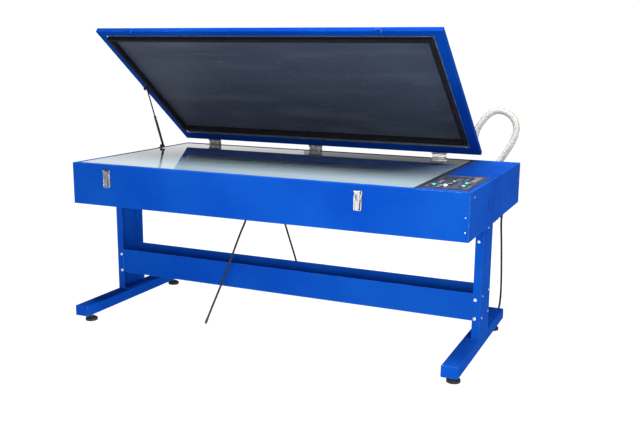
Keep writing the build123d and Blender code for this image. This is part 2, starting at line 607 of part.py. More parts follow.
def connector(at, toward, name):
    """A small round connector whose cord enters at a point, in line with the cord."""
    inline = Plane(origin=at, z_dir=toward)
    with BuildPart(inline) as body:
        with BuildSketch(inline):
            Circle(6)
        with BuildSketch(inline.offset(10)):
            Circle(7.2)
        loft()
        rod((0, 0, 10), "z", 20, 7.2)
        rod((0, 0, 30), "z", 9, 4.5)
    save(body, name)


def cords():
    """Vacuum hose and its elbow, the three leads, their strain reliefs, plugs and the put-away coil."""
    with BuildPart() as elbow:
        rod((ELBOW[0], BODY_Y, ELBOW_Z), "y", 4, 26)
        rod((ELBOW[0], BODY_Y - 36, ELBOW_Z), "y", 58, 14)
        with Locations((ELBOW[0], ELBOW[1], ELBOW_Z)):
            Sphere(14)
        rod((ELBOW[0], ELBOW[1], ELBOW_Z), "z", HOSE[0][2] - ELBOW_Z, 14)
        rod((ELBOW[0], ELBOW[1], HOSE[0][2] - 24), "z", 24, CUFF_R)
    save(elbow, "hose_elbow")
    tube(HOSE, HOSE_R, "vacuum_hose")

    with BuildPart() as reliefs:
        for x, y in CORD_EXIT.values():
            rod((x, y, BODY_LOW - 6), "z", 6, 12)
            rod((x, y, BODY_LOW - 6), "z", 14, 8)
            with BuildSketch(Plane.XY.offset(BODY_LOW - 6)) as wide:
                with Locations((x, y)):
                    Circle(8)
            with BuildSketch(Plane.XY.offset(620)) as narrow:
                with Locations((x, y)):
                    Circle(6.4)
            loft([narrow.sketch.face(), wide.sketch.face()])
    save(reliefs, "cord_strain_reliefs")

    tube(FRONT_CORD, CORD_R, "front_cord")
    tube(MIDDLE_CORD, CORD_R, "middle_cord")
    tube(SIDE_CORD, CORD_R, "side_cord")
    for name, route in (("front_cord_connector", FRONT_CORD), ("middle_cord_connector", MIDDLE_CORD)):
        end = Vector(*route[-1])
        connector(end, end - Vector(*route[-2]), name)
    with BuildPart() as coil:
        rod((COIL[0], COIL[1], 0.3), "z", COIL_HIGH, COIL_OUT)
        rod((COIL[0], COIL[1], 0), "z", COIL_HIGH + 1, COIL_IN, mode=Mode.SUBTRACT)
    save(coil, "side_cord_coil")
    tangent = (COIL_OUT ** 2 - (COIL_OUT - CORD_R) ** 2) ** 0.5
    plug((COIL[0] + tangent, COIL[1] + COIL_OUT - CORD_R, 8.3), (1, 0), "side_cord_plug")


cabinet_shell()
right_end_panel()
control_cover()
glass()
lamp_tray()
electronics()
control_panel()
lid()
lid_hinges()
gas_strut()
latches()
stand()
cords()
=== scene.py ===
"""Screen exposure unit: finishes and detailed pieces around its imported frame, in metres."""
import math
import random

import bmesh
import bpy
from mathutils import Matrix, Vector


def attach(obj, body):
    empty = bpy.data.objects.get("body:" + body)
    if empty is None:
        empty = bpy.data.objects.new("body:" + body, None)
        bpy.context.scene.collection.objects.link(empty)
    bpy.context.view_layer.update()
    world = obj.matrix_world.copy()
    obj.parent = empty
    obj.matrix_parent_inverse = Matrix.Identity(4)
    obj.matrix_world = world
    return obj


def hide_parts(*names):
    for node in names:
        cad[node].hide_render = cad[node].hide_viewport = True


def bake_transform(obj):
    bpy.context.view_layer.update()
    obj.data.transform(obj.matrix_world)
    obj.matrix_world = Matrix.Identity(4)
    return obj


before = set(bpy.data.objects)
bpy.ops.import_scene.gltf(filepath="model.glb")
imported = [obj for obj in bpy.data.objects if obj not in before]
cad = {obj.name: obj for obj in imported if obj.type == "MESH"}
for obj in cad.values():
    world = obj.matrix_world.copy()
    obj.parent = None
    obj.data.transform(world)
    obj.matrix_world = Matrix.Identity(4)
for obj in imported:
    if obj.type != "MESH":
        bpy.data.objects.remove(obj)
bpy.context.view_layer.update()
random.seed(41)


# ---- Studio --------------------------------------------------------------------------------------
# A pale floor before a white backdrop, under a darker ceiling. Low soft boxes stand in front and at
# the right, a long one hangs over the lid and a weak card stands far behind, at the left.
# The camera stands a little to the right of the unit, at eye height.
CAMERA_AT = (1.9030, -4.0014, 1.4694)
CAMERA_RIGHT = (0.91275, 0.40842, 0.00883)
CAMERA_UP = (-0.08665, 0.17244, 0.98120)
CAMERA_BACK = (0.39922, -0.89636, 0.19279)
CAMERA_LENS = 46.32
FLOOR_REACH = 30.0
WHITE = (1.0, 1.0, 1.0, 1.0)
BACKDROP = 1.04            # brightness of the white backdrop
BACKDROP_TOP = 0.09        # sine of the angle above level where the backdrop begins to darken
CEILING_FROM = 0.14        # the same, where only the ceiling is left
CEILING = 0.08             # brightness of the ceiling

camera_data = bpy.data.cameras.new("studio_camera")
camera_data.sensor_width = 36.0
camera_data.sensor_fit = "HORIZONTAL"
camera_data.lens = CAMERA_LENS
camera_data.clip_end = 80.0
camera = bpy.data.objects.new("studio_camera", camera_data)
bpy.context.scene.collection.objects.link(camera)
camera.matrix_world = Matrix((CAMERA_RIGHT, CAMERA_UP, CAMERA_BACK)).transposed().to_4x4()
camera.matrix_world.translation = CAMERA_AT
bpy.context.scene.camera = camera
bpy.context.scene.view_settings.view_transform = "Standard"


def node(tree, kind, feeds=(), **settings):
    """A shader node with its settings; feeds gives its inputs values or other nodes' outputs."""
    made = tree.nodes.new(f"ShaderNode{kind}")
    for key, value in settings.items():
        setattr(made, key, value)
    for key, value in dict(feeds).items():
        if isinstance(value, bpy.types.NodeSocket):
            tree.links.new(value, made.inputs[key])
        else:
            made.inputs[key].default_value = value
    return made


air = bpy.data.worlds.new("studio_air")
air.use_nodes = True
around = node(air.node_tree, "TexCoord")
axes = node(air.node_tree, "SeparateXYZ", {"Vector": around.outputs["Generated"]})
glow = node(air.node_tree, "MapRange", {"Value": axes.outputs["Z"], "From Min": BACKDROP_TOP,
                                        "From Max": CEILING_FROM, "To Min": BACKDROP, "To Max": CEILING},
            interpolation_type="SMOOTHSTEP")
air_shader = air.node_tree.nodes["Background"]
air_shader.inputs["Color"].default_value = WHITE
air.node_tree.links.new(glow.outputs["Result"], air_shader.inputs["Strength"])
bpy.context.scene.world = air


def soft_box(name, at, toward, width, height, watts):
    """A rectangular soft box at a place, turned toward another."""
    data = bpy.data.lights.new(name, "AREA")
    data.shape = "RECTANGLE"
    data.size = width
    data.size_y = height
    data.energy = watts
    lamp = bpy.data.objects.new(name, data)
    lamp.location = at
    lamp.rotation_euler = (Vector(toward) - Vector(at)).to_track_quat("-Z", "Y").to_euler()
    bpy.context.scene.collection.objects.link(lamp)


soft_box("front_box", (0.7, -3.2, 0.95), (0.45, 0.0, 0.65), 1.6, 0.9, 98)
soft_box("overhead_box", (0.6, -0.55, 3.4), (0.6, -0.47, 0.8), 3.0, 1.0, 240)
soft_box("right_box", (4.4, -0.6, 0.9), (0.9, 0.0, 0.6), 2.0, 1.0, 75)
soft_box("left_card", (-5.2, 4.6, 2.6), (-0.8, 0.0, 0.9), 6.0, 2.4, 24)


def new_finish(name, colour, roughness, metallic=0.0):
    """A plain material to build a finish on; gives the material, its node tree and its shader."""
    finish = bpy.data.materials.new(name)
    finish.use_nodes = True
    finish.diffuse_color = (*colour, 1.0)
    shader = finish.node_tree.nodes["Principled BSDF"]
    shader.inputs["Base Color"].default_value = (*colour, 1.0)
    shader.inputs["Roughness"].default_value = roughness
    shader.inputs["Metallic"].default_value = metallic
    return finish, finish.node_tree, shader


floor_paper, _, floor_shader = new_finish("floor_paper", (0.16, 0.16, 0.16), 0.9)
floor_shader.inputs["Specular IOR Level"].default_value = 0.1
floor_shader.inputs["Emission Color"].default_value = WHITE
floor_shader.inputs["Emission Strength"].default_value = 1.0
floor_mesh = bpy.data.meshes.new("studio_floor")
floor_corners = [(x * FLOOR_REACH, y * FLOOR_REACH, 0) for x, y in ((-1, -1), (1, -1), (1, 1), (-1, 1))]
floor_mesh.from_pydata(floor_corners, [], [(0, 1, 2, 3)])
floor_mesh.materials.append(floor_paper)
studio_floor = bpy.data.objects.new("studio_floor", floor_mesh)
bpy.context.scene.collection.objects.link(studio_floor)


# ---- Foot bars, columns and cross trough -----------------------------------------------------------
# Two closed rectangular tubes with welded ends, two bent C columns and a folded trough between them.
# All of it is welded sheet and tube under one coat of cobalt blue powder.
BLUE_DEEP = (0.002, 0.042, 0.29)
BLUE_FADED = (0.004, 0.060, 0.33)
# Lighter blue painted along the powder coat's outer edges as a highlight.
BLUE_EDGE_HIGHLIGHT = (0.11, 0.30, 0.84)
BLUE_DUSTY = (0.05, 0.13, 0.46)
PEEL_SIZE = 0.0022         # pitch of the orange peel in the powder coat
# The same radius sets how wide the painted edge highlight runs.
EDGE_RADIUS = 0.0030       # rounding that the coat gives a sheet edge


def effect(name, gives, **inputs):
    """A new shader effect; gives its tree, what its inputs bring and what its outputs take."""
    tree = bpy.data.node_groups.new(name, "ShaderNodeTree")
    for label, value in inputs.items():
        kind = "NodeSocketVector" if isinstance(value, tuple) else "NodeSocketFloat"
        tree.interface.new_socket(name=label, in_out="INPUT", socket_type=kind).default_value = value
    for label in gives:
        kind = "NodeSocketVector" if label == "Normal" else "NodeSocketFloat"
        tree.interface.new_socket(name=label, in_out="OUTPUT", socket_type=kind)
    return tree, tree.nodes.new("NodeGroupInput").outputs, tree.nodes.new("NodeGroupOutput").inputs


def place_effect(tree, which, **values):
    """One use of a shader effect in a material, with its own values; gives its outputs."""
    placed = tree.nodes.new("ShaderNodeGroup")
    placed.node_tree = which
    for key, value in values.items():
        placed.inputs[key].default_value = value
    return placed.outputs


def noise(tree, feeds, given=None):
    """Noise in a piece's own space; the size and the stretch of an effect set its pitch."""
    feeds["Vector"] = node(tree, "TexCoord").outputs["Object"]
    if given is not None:
        drawn = node(tree, "VectorMath", {0: feeds["Vector"], 1: given["Stretch"]}, operation="MULTIPLY")
        feeds["Vector"] = drawn.outputs[0]
        feeds["Scale"] = node(tree, "Math", {0: 1.0, 1: given["Size"]}, operation="DIVIDE").outputs[0]
    return node(tree, "TexNoise", feeds).outputs["Fac"]


def ranged(tree, value, low, high):
    """A mask that rises as a value runs from low to high."""
    return node(tree, "MapRange", {"Value": value, "From Min": low, "From Max": high}).outputs["Result"]


def between(tree, low, high, mask):
    """A number that runs from low to high with a mask."""
    return node(tree, "MapRange", {"Value": mask, "To Min": low, "To Max": high}).outputs["Result"]


def times(tree, one, other, **settings):
    """Two masks multiplied."""
    return node(tree, "Math", {0: one, 1: other}, operation="MULTIPLY", **settings).outputs[0]


def make_grain():
    """Fine relief: bumps of one size, drawn out along each axis as wanted."""
    tree, given, out = effect("surface grain", ("Height",), Size=0.002, Stretch=(1.0, 1.0, 1.0), Detail=2.0)
    tree.links.new(noise(tree, {"Detail": given["Detail"], "Roughness": 0.5}, given), out["Height"])
    return tree


def make_edge_wear_and_highlight():
    """Mask of the outer edges, broken up by noise, and a rounded normal: wear where hands and boxes rub on
    metal and plastic, and a painted highlight in the powder coat.
    """
    tree, given, out = effect("worn and highlit edges", ("Mask", "Normal"), Radius=0.002, Amount=0.5)
    soft = node(tree, "Bevel", {"Radius": given["Radius"]}, samples=6).outputs[0]
    flat = node(tree, "NewGeometry").outputs["True Normal"]
    facing = node(tree, "VectorMath", {0: soft, 1: flat}, operation="DOT_PRODUCT").outputs["Value"]
    spots = noise(tree, {"Scale": 45.0, "Detail": 4.0, "Roughness": 0.65})
    broken = times(tree, ranged(tree, facing, 0.99, 0.85), ranged(tree, spots, 0.42, 0.72))
    tree.links.new(times(tree, broken, given["Amount"], use_clamp=True), out["Mask"])
    tree.links.new(soft, out["Normal"])
    return tree


def make_mottle():
    """Slow variation over a surface, with a fine speckle on top."""
    tree, given, out = effect("slow mottle", ("Mask",), Size=0.3, Stretch=(1.0, 1.0, 1.0), Low=0.3, High=0.7)
    cloud = noise(tree, {"Detail": 5.0, "Roughness": 0.55, "Distortion": 0.3}, given)
    tree.links.new(ranged(tree, cloud, given["Low"], given["High"]), out["Mask"])
    return tree


def make_dust():
    """Mask of the dust that settles on what faces up."""
    tree, given, out = effect("settled dust", ("Mask",), Amount=0.2)
    facing = node(tree, "SeparateXYZ", {"Vector": node(tree, "NewGeometry").outputs["Normal"]})
    patch = ranged(tree, noise(tree, {"Scale": 14.0, "Detail": 6.0, "Roughness": 0.7}), 0.4, 0.8)
    settled = times(tree, ranged(tree, facing.outputs["Z"], 0.55, 1.0), patch)
    tree.links.new(times(tree, settled, given["Amount"]), out["Mask"])
    return tree


GRAIN = make_grain()
# One edge mask: wear on metal and plastic, and a painted highlight on the powder coat.
EDGE_WEAR_AND_HIGHLIGHT = make_edge_wear_and_highlight()
MOTTLE = make_mottle()
DUST = make_dust()


def mottled(tree, size, low, high, stretch=(1.0, 1.0, 1.0)):
    """Mottle of one size in a material; low and high set where its mask starts and is full."""
    return place_effect(tree, MOTTLE, Size=size, Stretch=stretch, Low=low, High=high)


def grained(tree, size, detail, stretch=(1.0, 1.0, 1.0)):
    """Fine relief of one size in a material."""
    return place_effect(tree, GRAIN, Size=size, Stretch=stretch, Detail=detail)


def blended(tree, shade, other, mask):
    """The colour between two shades by a mask; either shade may be a colour or another node's output."""
    mix = node(tree, "Mix", data_type="RGBA")
    for label, value in (("A", shade), ("B", other)):
        socket = [s for s in mix.inputs if s.name == label and s.type == "RGBA"][0]
        if isinstance(value, bpy.types.NodeSocket):
            tree.links.new(value, socket)
        else:
            socket.default_value = (*value, 1.0)
    tree.links.new(mask, mix.inputs["Factor"])
    return [s for s in mix.outputs if s.type == "RGBA"][0]


def relief(tree, shader, height, depth, strength, normal=None):
    """Presses a height of that depth into a surface's normal."""
    feeds = {"Height": height, "Distance": depth, "Strength": strength}
    if normal is not None:
        feeds["Normal"] = normal
    bump = node(tree, "Bump", feeds)
    tree.links.new(bump.outputs["Normal"], shader.inputs["Normal"])


def layered(tree, shader, base, layers, rough, grain, normal=None):
    """Gives a shader its colour in layers of (shade, effect), its roughness and its relief.

    Rough is (low, high, effect), or nothing for an even one. Grain is (effect, depth, strength)."""
    for shade, mask in layers:
        base = blended(tree, base, shade, mask["Mask"])
    tree.links.new(base, shader.inputs["Base Color"])
    if rough:
        low, high, mask = rough
        tree.links.new(between(tree, low, high, mask["Mask"]), shader.inputs["Roughness"])
    bumps, depth, strength = grain
    relief(tree, shader, bumps["Height"], depth, strength, normal)


def powder_coat(name, deep, faded, roughness, dust):
    """Powder coat: orange peel, slow fading, a painted highlight along the edges and a little dust."""
    finish, tree, shader = new_finish(name, deep, roughness)
    cloud = mottled(tree, 0.55, 0.36, 0.66)
    smudge = mottled(tree, 0.09, 0.3, 0.75)
    # A painted highlight: lighter blue laid along the outer edges, broken into patches.
    worn_and_highlit = place_effect(tree, EDGE_WEAR_AND_HIGHLIGHT, Radius=EDGE_RADIUS, Amount=0.9)
    settled = place_effect(tree, DUST, Amount=dust)
    peel = grained(tree, PEEL_SIZE, 1.5)
    shader.inputs["Specular IOR Level"].default_value = 0.0005
    layered(tree, shader, deep, ((faded, cloud), (BLUE_EDGE_HIGHLIGHT, worn_and_highlit), (BLUE_DUSTY, settled)),
            (roughness - 0.05, roughness + 0.08, smudge), (peel, 0.00016, 0.55), worn_and_highlit["Normal"])
    return finish


def dress(finish, *names):
    """Gives CAD nodes their finish, in every slot they have."""
    for name in names:
        piece = cad[name]
        if not piece.material_slots:
            piece.data.materials.append(finish)
        for held in piece.material_slots:
            held.material = finish


blue_powder = powder_coat("blue_powder_coat", BLUE_DEEP, BLUE_FADED, 0.40, 0.06)
dress(blue_powder, "foot_bar_left", "foot_bar_right", "column_left", "column_right", "cross_trough")

# The tube ends are closed with plates, welded all round and ground nearly flush; the bead still shows.
BAR_X = 1.026              # middle of each bar, left and right
BAR_Y = (-0.602, 0.354)
BAR_Z = 0.0725
BAR_HALF_WIDE = 0.040
BAR_HALF_HIGH = 0.0275
BAR_CORNER = 0.003
BEAD = 0.0011


def collect(name, shape, finish, body, smooth=True):
    """Turns a finished bmesh into an object with its finish, riding on a body."""
    mesh = bpy.data.meshes.new(name)
    bmesh.ops.recalc_face_normals(shape, faces=shape.faces)
    shape.to_mesh(mesh)
    shape.free()
    for finish_of_slot in (finish if isinstance(finish, tuple) else (finish,)):
        mesh.materials.append(finish_of_slot)
    for face in mesh.polygons:
        face.use_smooth = smooth
    if smooth:
        mesh.set_sharp_from_angle(angle=math.radians(38))
    piece = bpy.data.objects.new(name, mesh)
    bpy.context.scene.collection.objects.link(piece)
    if body:
        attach(piece, body)
    return piece


def spokes(count, side=(1, 0, 0), other=(0, 1, 0)):
    """Directions spread evenly round a circle, in the plane of two of them."""
    turns = [2 * math.pi * step / count for step in range(count)]
    return [Vector(side) * math.cos(turn) + Vector(other) * math.sin(turn) for turn in turns]


def pipe(shape, points, radius, around=8, closed=False, slot=0):
    """A round bar bent along a line of points, with closed ends or joined into a loop."""
    line = [Vector(point) for point in points]
    count = len(line)
    rings = []
    side = None
    for at, here in enumerate(line):
        before = line[(at - 1) % count] if closed or at > 0 else here
        after = line[(at + 1) % count] if closed or at < count - 1 else here
        along = (after - before).normalized()
        if side is None:
            side = along.orthogonal().normalized()
        side = (side - along * side.dot(along)).normalized()
        wide = radius[at] if isinstance(radius, list) else radius
        rings.append([shape.verts.new(here + wide * spoke)
                      for spoke in spokes(around, side, along.cross(side))])
    for at in range(count if closed else count - 1):
        ring, following = rings[at], rings[(at + 1) % count]
        shift = 0
        if closed and at == count - 1:
            gaps = [sum((ring[k].co - following[(k + s) % around].co).length for k in range(around))
                    for s in range(around)]
            shift = gaps.index(min(gaps))
        for step in range(around):
            follow = (step + 1) % around
            face = shape.faces.new((ring[step], ring[follow], following[(follow + shift) % around],
                                    following[(step + shift) % around]))
            face.material_index = slot
    if not closed:
        shape.faces.new(reversed(rings[0])).material_index = slot
        shape.faces.new(rings[-1]).material_index = slot


def rounded_loop(centre, across, up, half_wide, half_high, corner, steps=5):
    """Points round a rectangle with rounded corners, in the plane of two unit directions."""
    centre, across, up = Vector(centre), Vector(across), Vector(up)
    points = []
    for quarter, (sx, sy) in enumerate(((1, 1), (-1, 1), (-1, -1), (1, -1))):
        for step in range(steps + 1):
            turn = math.pi / 2 * (quarter + step / steps)
            points.append(centre + across * (sx * (half_wide - corner) + corner * math.cos(turn))
                          + up * (sy * (half_high - corner) + corner * math.sin(turn)))
    return points


for side, sign in (("left", -1), ("right", 1)):
    bead = bmesh.new()
    for end, inward in zip(BAR_Y, (1, -1)):
        loop = rounded_loop((sign * BAR_X, end + inward * BAR_CORNER, BAR_Z), (1, 0, 0), (0, 0, 1),
                            BAR_HALF_WIDE, BAR_HALF_HIGH, BAR_CORNER, 4)
        pipe(bead, loop, BEAD, 6, closed=True)
    collect(f"bar_end_welds_{side}", bead, blue_powder, "base")


# ---- Levelling feet --------------------------------------------------------------------------------
# A moulded rubber pad on a steel disc, with a zinc M12 stud and lock nut, screwed up into each bar.
# Each one is turned by hand to level the unit.
FOOT_X = 1.026
FOOT_Y = (-0.524, 0.276)
PAD_RADIUS = 0.0330
STUD_RADIUS = 0.0060
STUD_TOP = 0.0740
NUT_RADIUS = 0.0110
THREAD_PITCH = 0.00175


def turned(shape, profile, at=(0, 0, 0), along=(0, 0, 1), around=32, slot=0, spin=0.0, loop=False):
    """A turned piece from (radius, distance) pairs, standing at a place along a direction.

    A third value of 6 makes that ring a hexagon. A loop has no ends: its last ring joins the first."""
    aim = Vector(along).normalized().to_track_quat("Z", "Y").to_matrix().to_4x4()
    place = Matrix.Translation(Vector(at)) @ aim
    sixth = math.pi / 3
    rings = []
    for radius, distance, *sides in profile:
        ring = []
        for step in range(around if radius > 1e-7 else 1):
            turn = 2 * math.pi * step / around
            wide = radius * math.cos(sixth / 2) / math.cos(turn % sixth - sixth / 2) if sides else radius
            ring.append(shape.verts.new(place @ Vector((wide * math.cos(turn + spin),
                                                        wide * math.sin(turn + spin), distance))))
        rings.append(ring)
    for low, high in zip(rings, rings[1:] + rings[:1] if loop else rings[1:]):
        for step in range(around):
            follow = (step + 1) % around
            if len(low) == 1:
                corners = (low[0], high[follow], high[step])
            elif len(high) == 1:
                corners = (low[step], low[follow], high[0])
            else:
                corners = (low[step], low[follow], high[follow], high[step])
            shape.faces.new(corners).material_index = slot
    if not loop:
        for ring in (rings[0], rings[-1]):
            if len(ring) > 1:
                shape.faces.new(ring).material_index = slot


def shaded(colour, by, lift=0.0):
    """A colour made lighter or darker: each channel times a number, and lifted a little."""
    return tuple(min(1.0, channel * by + lift) for channel in colour)


def rubber(name, colour, roughness, size):
    """Moulded black rubber: fine matt grain, a grey bloom and dust."""
    finish, tree, shader = new_finish(name, colour, roughness)
    bloom = mottled(tree, 0.03, 0.35, 0.8)
    settled = place_effect(tree, DUST, Amount=0.10)
    grain = grained(tree, size, 3.0)
    shader.inputs["Specular IOR Level"].default_value = 0.06
    layered(tree, shader, colour, ((shaded(colour, 1.9, 0.004), bloom), ((0.12, 0.12, 0.12), settled)),
            (roughness - 0.08, roughness + 0.08, bloom), (grain, size * 0.2, 0.5))
    return finish


def plated(name, colour, roughness, tint, line):
    """Bright plated steel: rolled grain along one way, a faint passivation tint and edges worn bright."""
    finish, tree, shader = new_finish(name, colour, roughness, 1.0)
    cloud = mottled(tree, 0.02, 0.3, 0.75)
    worn_and_highlit = place_effect(tree, EDGE_WEAR_AND_HIGHLIGHT, Radius=0.0006, Amount=0.6)
    grain = grained(tree, 0.0006, 3.0, line)
    layered(tree, shader, colour, ((tint, cloud), ((0.86, 0.87, 0.88), worn_and_highlit)),
            (roughness - 0.08, roughness + 0.14, cloud), (grain, 0.00006, 0.6), worn_and_highlit["Normal"])
    return finish


foot_rubber = rubber("foot_rubber", (0.018, 0.018, 0.020), 0.62, 0.0009)
dark_zinc = plated("dark_zinc", (0.30, 0.31, 0.33), 0.38, (0.36, 0.34, 0.30), (1.0, 1.0, 0.1))

for bar, sign in (("left", -1), ("right", 1)):
    for end, y in zip(("front", "rear"), FOOT_Y):
        x = sign * FOOT_X
        foot = bmesh.new()
        turned(foot, [(0, 0), (PAD_RADIUS - 0.0025, 0), (PAD_RADIUS - 0.0007, 0.0009), (PAD_RADIUS, 0.0026),
                      (PAD_RADIUS, 0.0106), (PAD_RADIUS - 0.0014, 0.0142), (PAD_RADIUS - 0.0050, 0.0160),
                      (0.0218, 0.0160), (0.0200, 0.0170), (0.0200, 0.0212), (0.0192, 0.0220),
                      (STUD_RADIUS, 0.0220)], (x, y, 0), around=48)
        rib_at = Vector((x, y, 0.0158))
        for spoke in spokes(24):
            pipe(foot, [rib_at + spoke * 0.0274, rib_at + spoke * 0.0226], 0.0008, 5)
        stud = []
        height = 0.0220
        while height < STUD_TOP - 0.0015:
            stud += [(STUD_RADIUS, height), (STUD_RADIUS - 0.0007, height + THREAD_PITCH / 2)]
            height += THREAD_PITCH
        stud += [(STUD_RADIUS, height), (STUD_RADIUS - 0.0010, STUD_TOP), (0, STUD_TOP)]
        turned(foot, stud, (x, y, 0), around=24, slot=1)
        turned(foot, [(STUD_RADIUS, 0.0340), (NUT_RADIUS - 0.0020, 0.0340), (NUT_RADIUS, 0.0349),
                      (NUT_RADIUS, 0.0421), (NUT_RADIUS - 0.0020, 0.0430), (STUD_RADIUS, 0.0430)],
               (x, y, 0), around=6, slot=1)
        piece = collect(f"levelling_pad_{bar}_{end}", foot, (foot_rubber, dark_zinc),
                        f"levelling_foot_{bar}_{end}")
        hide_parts(f"levelling_foot_{bar}_{end}")


# ---- Bolts and screws ------------------------------------------------------------------------------
# Button-head socket bolts join trough, columns, bars and cabinet, and small ones hold the cabinet's end.
# All are zinc plated, each on its own pressed washer, turned to no special angle.
COLUMN_FRONT = -0.222
COLUMN_REAR = -0.026
COLUMN_SIDE = 1.066
TROUGH_BOLT_Z = (0.210, 0.305)
BIG_HEAD = (0.0085, 0.0060)        # radius and height


def socket_bolt(shape, at, along, radius, height):
    """A button-head bolt with a hexagon socket, on a thin washer, at a place and facing a direction."""
    form = ((0, 0), (1, 0), (1, 0.22), (0.96, 0.28), (0.80, 0.28), (0.79, 0.55), (0.70, 0.80), (0.50, 0.99),
            (0.46, 1), (0.42, 0.96, 6), (0.42, 0.50, 6), (0, 0.45))
    turned(shape, [(radius * wide, height * up, *sides) for wide, up, *sides in form], at, along, 24,
           spin=random.uniform(0, math.pi))


plated_bolt = plated("zinc_plated_bolt", (0.60, 0.61, 0.63), 0.28, (0.62, 0.60, 0.52), (1.0, 1.0, 1.0))
bolts = bmesh.new()
for sign in (-1, 1):
    for z in TROUGH_BOLT_Z:
        socket_bolt(bolts, (sign * 1.040, COLUMN_FRONT, z), (0, -1, 0), *BIG_HEAD)
        socket_bolt(bolts, (sign * 1.040, COLUMN_REAR, z), (0, 1, 0), *BIG_HEAD)
    socket_bolt(bolts, (sign * 1.045, COLUMN_FRONT, 0.592), (0, -1, 0), 0.0070, 0.0050)
    for y, z in ((-0.124, 0.645), (-0.180, 0.316), (-0.050, 0.316), (-0.180, 0.206), (-0.050, 0.206)):
        socket_bolt(bolts, (sign * COLUMN_SIDE, y, z), (sign, 0, 0), 0.0050, 0.0030)
    for y in (-0.200, -0.048):
        socket_bolt(bolts, (sign * 0.985, y, 0.655), (0, 0, -1), *BIG_HEAD)
for z in (0.703, 0.770):
    socket_bolt(bolts, (1.059, -0.560, z), (0, -1, 0), 0.0032, 0.0020)
for y, z in ((-0.476, 0.849), (0.536, 0.788)):
    socket_bolt(bolts, (1.076, y, z), (1, 0, 0), 0.0035, 0.0020)
bolt_heads = collect("bolt_heads", bolts, plated_bolt, "base")
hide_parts("screws_and_bolts")


# ---- Cabinet ---------------------------------------------------------------------------------------
# A folded steel tray with a rim round the table, a screwed-on right end with vent slots, and a loose
# cover over the control end. The same blue powder coat is inside and out. A short lead runs through
# three clips under its right end.
cabinet_powder = powder_coat("cabinet_powder_coat", BLUE_DEEP, BLUE_FADED, 0.38, 0.08)
dress(cabinet_powder, "cabinet_shell", "right_end_panel", "control_cover")

clamp_plastic = rubber("clamp_plastic", (0.03, 0.03, 0.035), 0.45, 0.0006)
clamp = bmesh.new()
CLIP_X = 1.066
for y in (-0.040, 0.018, 0.076):
    pipe(clamp, [(CLIP_X, y + 0.010 * math.cos(turn), 0.6530 + 0.0060 * math.sin(turn))
                 for turn in (math.pi * (0.10 + 1.8 * step / 16) for step in range(17))], 0.0016, 8)
lead_run = [(CLIP_X, -0.046 + 0.133 * step / 12, 0.6528 + 0.0006 * math.cos(step * 1.6))
            for step in range(13)]
pipe(clamp, lead_run, 0.0036, 10, slot=1)
jacket = rubber("lead_jacket", (0.016, 0.016, 0.018), 0.42, 0.0005)
lead_clips = collect("lead_clips", clamp, (clamp_plastic, jacket), "base")


# ---- Lamp tray and light strips --------------------------------------------------------------------
# A pale grey folded tray lies on the cabinet floor. Twelve aluminium-backed boards run the length of the
# table on it, each with a row of small square lamps under a yellow phosphor.
STRIP_X = (-0.990, 0.770)
STRIP_Y = -0.461           # the frontmost strip
STRIP_STEP = 0.082
STRIP_COUNT = 12
STRIP_HALF = 0.007
STRIP_Z = (0.7035, 0.7047)
LAMP_STEP = 0.0220
LAMP_HALF = 0.0026
LENS_HALF = 0.0019


def slab(shape, low, high, edge=0.0, slot=0):
    """A block between two corners, its edges rounded off a little."""
    low, high = Vector(low), Vector(high)
    made = bmesh.ops.create_cube(shape, size=1.0)
    for vert in made["verts"]:
        vert.co = Vector([(low[k] + high[k]) / 2 + vert.co[k] * (high[k] - low[k]) for k in range(3)])
    faces = list({face for vert in made["verts"] for face in vert.link_faces})
    if edge > 0:
        edges = list({line for face in faces for line in face.edges})
        rounded = bmesh.ops.bevel(shape, geom=edges, offset=edge, segments=2, affect="EDGES", profile=0.6)
        faces += rounded["faces"]
    for face in faces:
        if face.is_valid:
            face.material_index = slot


def enamel(name, colour, roughness):
    """Stoved enamel: almost smooth, with a little dust and slow yellowing."""
    finish, tree, shader = new_finish(name, colour, roughness)
    cloud = mottled(tree, 0.2, 0.35, 0.75)
    settled = place_effect(tree, DUST, Amount=0.3)
    aged = tuple(channel * shade for channel, shade in zip(colour, (0.97, 0.95, 0.88)))
    skin = grained(tree, 0.0018, 1.0)
    layered(tree, shader, colour, ((aged, cloud), (shaded(colour, 0.75), settled)),
            (roughness - 0.04, roughness + 0.1, cloud), (skin, 0.00008, 0.4))
    return finish


tray_enamel = enamel("pale_tray_enamel", (0.42, 0.44, 0.46), 0.30)
dress(tray_enamel, "led_tray")
board_white = enamel("lamp_board_white", (0.84, 0.85, 0.82), 0.35)
phosphor = enamel("lamp_phosphor", (0.83, 0.68, 0.16), 0.30)
strips = bmesh.new()
lamp_top = STRIP_Z[1] + 0.0010
for row in range(STRIP_COUNT):
    y = STRIP_Y + row * STRIP_STEP
    slab(strips, (STRIP_X[0], y - STRIP_HALF, STRIP_Z[0]), (STRIP_X[1], y + STRIP_HALF, STRIP_Z[1]))
    for lamp in range(int((STRIP_X[1] - STRIP_X[0]) / LAMP_STEP)):
        x = STRIP_X[0] + (lamp + 0.5) * LAMP_STEP
        slab(strips, (x - LAMP_HALF, y - LAMP_HALF, STRIP_Z[1]), (x + LAMP_HALF, y + LAMP_HALF, lamp_top))
        slab(strips, (x - LENS_HALF, y - LENS_HALF, lamp_top),
             (x + LENS_HALF, y + LENS_HALF, lamp_top + 0.0003), slot=1)
light_boards = collect("light_boards", strips, (board_white, phosphor), "base", smooth=False)
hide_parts("led_strips")


# ---- Drivers, control board, fan and pump -------------------------------------------------------------
# Under the control cover sit three aluminium lamp drivers, a green board on pillars, a plastic axial
# fan behind the vents and an oil-free vacuum pump, a ribbed casting with a motor at its end.
cast_aluminium = plated("cast_aluminium", (0.56, 0.57, 0.58), 0.45, (0.50, 0.50, 0.50), (0.2, 1.0, 1.0))
dress(cast_aluminium, "led_drivers")


